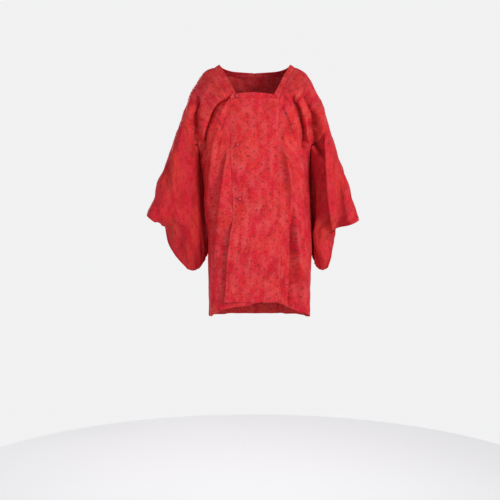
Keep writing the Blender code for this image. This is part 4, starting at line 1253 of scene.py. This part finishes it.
def make_button(node, across, along, skin, rim):
    """A covered button, square to the cloth that it is sewn to, with painted shade darkening its rim."""
    low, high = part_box(node)
    centre = (low + high) / 2
    width = max(high.x - low.x, high.z - low.z)
    piece = button_cap(node + "_silk", width)
    form = collar_front_form if node == "button_top" else overlap_form
    spot = form(1, np.array([across, across + STEP, across]), np.array([along, along, along + STEP]))
    normal = np.cross(spot[1] - spot[0], spot[2] - spot[0])
    normal = normal / np.linalg.norm(normal)
    if normal[1] > 0.0:
        normal = -normal
    turn = Vector((0.0, -1.0, 0.0)).rotation_difference(Vector([float(value) for value in normal]))
    piece.rotation_mode = "QUATERNION"
    piece.rotation_quaternion = turn
    piece.location = centre
    bpy.ops.object.transform_apply(location=True, rotation=True, scale=True)
    piece.data.materials.clear()
    piece.data.materials.append(skin)
    piece.data.materials.append(rim)
    # The outer faces take the rim silk, darkened as painted shade.
    for face in piece.data.polygons:
        face.material_index = int((face.center - centre).length > PAINTED_SHADE_RIM_START * width)
    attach(piece, "root")
    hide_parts(node)
    return piece


def make_floor(stage):
    """A plain pale disc."""
    bpy.ops.object.select_all(action="DESELECT")
    bpy.ops.mesh.primitive_circle_add(
        vertices=96, radius=1.1, fill_type="NGON", location=(0.0, 0.1, stage.floor)
    )
    floor = bpy.context.active_object
    floor.name = "floor"
    pale = bpy.data.materials.new("pale_floor")
    pale.use_nodes = True
    surface = pale.node_tree.nodes["Principled BSDF"]
    surface.inputs["Base Color"].default_value = (0.86, 0.86, 0.87, 1.0)
    surface.inputs["Roughness"].default_value = 0.9
    surface.inputs["Emission Color"].default_value = (0.92, 0.92, 0.93, 1.0)
    surface.inputs["Emission Strength"].default_value = 0.30
    floor.data.materials.append(pale)


def make_room(stage):
    """A pale room all round, darker overhead."""
    scene = bpy.context.scene
    scene.view_settings.view_transform = "Standard"
    world = bpy.data.worlds.new("pale_room")
    world.use_nodes = True
    tree = world.node_tree
    background = tree.nodes["Background"]
    height = split(tree, node_of(tree, "ShaderNodeTexCoord").outputs["Generated"])[2]
    above = ramp(tree, height, 0.30, 0.75)
    tone = blend_colour(tree, above, (0.96, 0.96, 0.97, 1.0), (0.40, 0.40, 0.41, 1.0))
    tree.links.new(tone, background.inputs["Color"])
    background.inputs["Strength"].default_value = stage.sky
    scene.world = world


def make_lights(stage):
    """Three soft square lights: the main one, one from the other side and one from behind."""
    aim = Vector((0.0, 0.0, -0.42))
    for name, power, size, place in (
        ("key_light", stage.key, 0.9, (1.6, -2.0, 0.2)),
        ("fill_light", stage.fill, 1.6, (-1.3, -2.0, -0.6)),
        ("back_light", stage.back, 0.9, (-0.6, 2.3, 0.4)),
    ):
        bpy.ops.object.light_add(type="AREA", location=place)
        light = bpy.context.active_object
        light.name = name
        light.data.shape = "SQUARE"
        light.data.size = size
        light.data.energy = power
        light.data.spread = stage.spread
        light.visible_camera = False
        light.rotation_euler = (aim - Vector(place)).to_track_quat("-Z", "Y").to_euler()


def make_camera(stage):
    """The camera at the angle that the coat is seen from in the photo."""
    bpy.ops.object.camera_add(
        location=(-0.016, -stage.camera_distance, stage.camera_height),
        rotation=(math.pi / 2 - stage.camera_tilt, 0.0, 0.0),
    )
    camera = bpy.context.active_object
    camera.name = "camera"
    camera.data.lens = stage.lens
    camera.data.sensor_width = 36.0
    bpy.context.scene.camera = camera


class COAT_OT_stage(bpy.types.Operator):
    """Adds the floor, the soft lights and the camera"""

    bl_idname = "coat.add_stage"
    bl_label = "Stage"

    def execute(self, context):
        stage = context.scene.coat_stage
        make_floor(stage)
        make_room(stage)
        make_lights(stage)
        make_camera(stage)
        return {"FINISHED"}


class COAT_PT_sidebar(bpy.types.Panel):
    """Lists the coat's pieces and the settings of its silk"""

    bl_idname = "COAT_PT_sidebar"
    bl_label = "Michiyuki coat"
    bl_space_type = "VIEW_3D"
    bl_region_type = "UI"
    bl_category = "Coat"

    def draw(self, context):
        layout = self.layout
        for operator in PIECES:
            layout.operator(operator.bl_idname)
        for group in (context.scene.coat_silk, context.scene.coat_cloth, context.scene.coat_stage):
            box = layout.box()
            for key in group.__annotations__:
                box.prop(group, key)


PIECES = (COAT_OT_body, COAT_OT_overlaps, COAT_OT_sleeves, COAT_OT_collar, COAT_OT_buttons, COAT_OT_stage)
CLASSES = (CoatSilk, CoatCloth, CoatStage) + PIECES + (COAT_PT_sidebar,)


def register():
    for made in CLASSES:
        bpy.utils.register_class(made)
    bpy.types.Scene.coat_silk = bpy.props.PointerProperty(type=CoatSilk)
    bpy.types.Scene.coat_cloth = bpy.props.PointerProperty(type=CoatCloth)
    bpy.types.Scene.coat_stage = bpy.props.PointerProperty(type=CoatStage)


def unregister():
    del bpy.types.Scene.coat_silk
    del bpy.types.Scene.coat_cloth
    del bpy.types.Scene.coat_stage
    for made in reversed(CLASSES):
        bpy.utils.unregister_class(made)


def main():
    register()
    bpy.ops.coat.add_body()
    bpy.ops.coat.add_overlaps()
    bpy.ops.coat.add_sleeves()
    bpy.ops.coat.add_collar()
    bpy.ops.coat.add_buttons()
    bpy.ops.coat.add_stage()


if __name__ == "__main__":
    main()
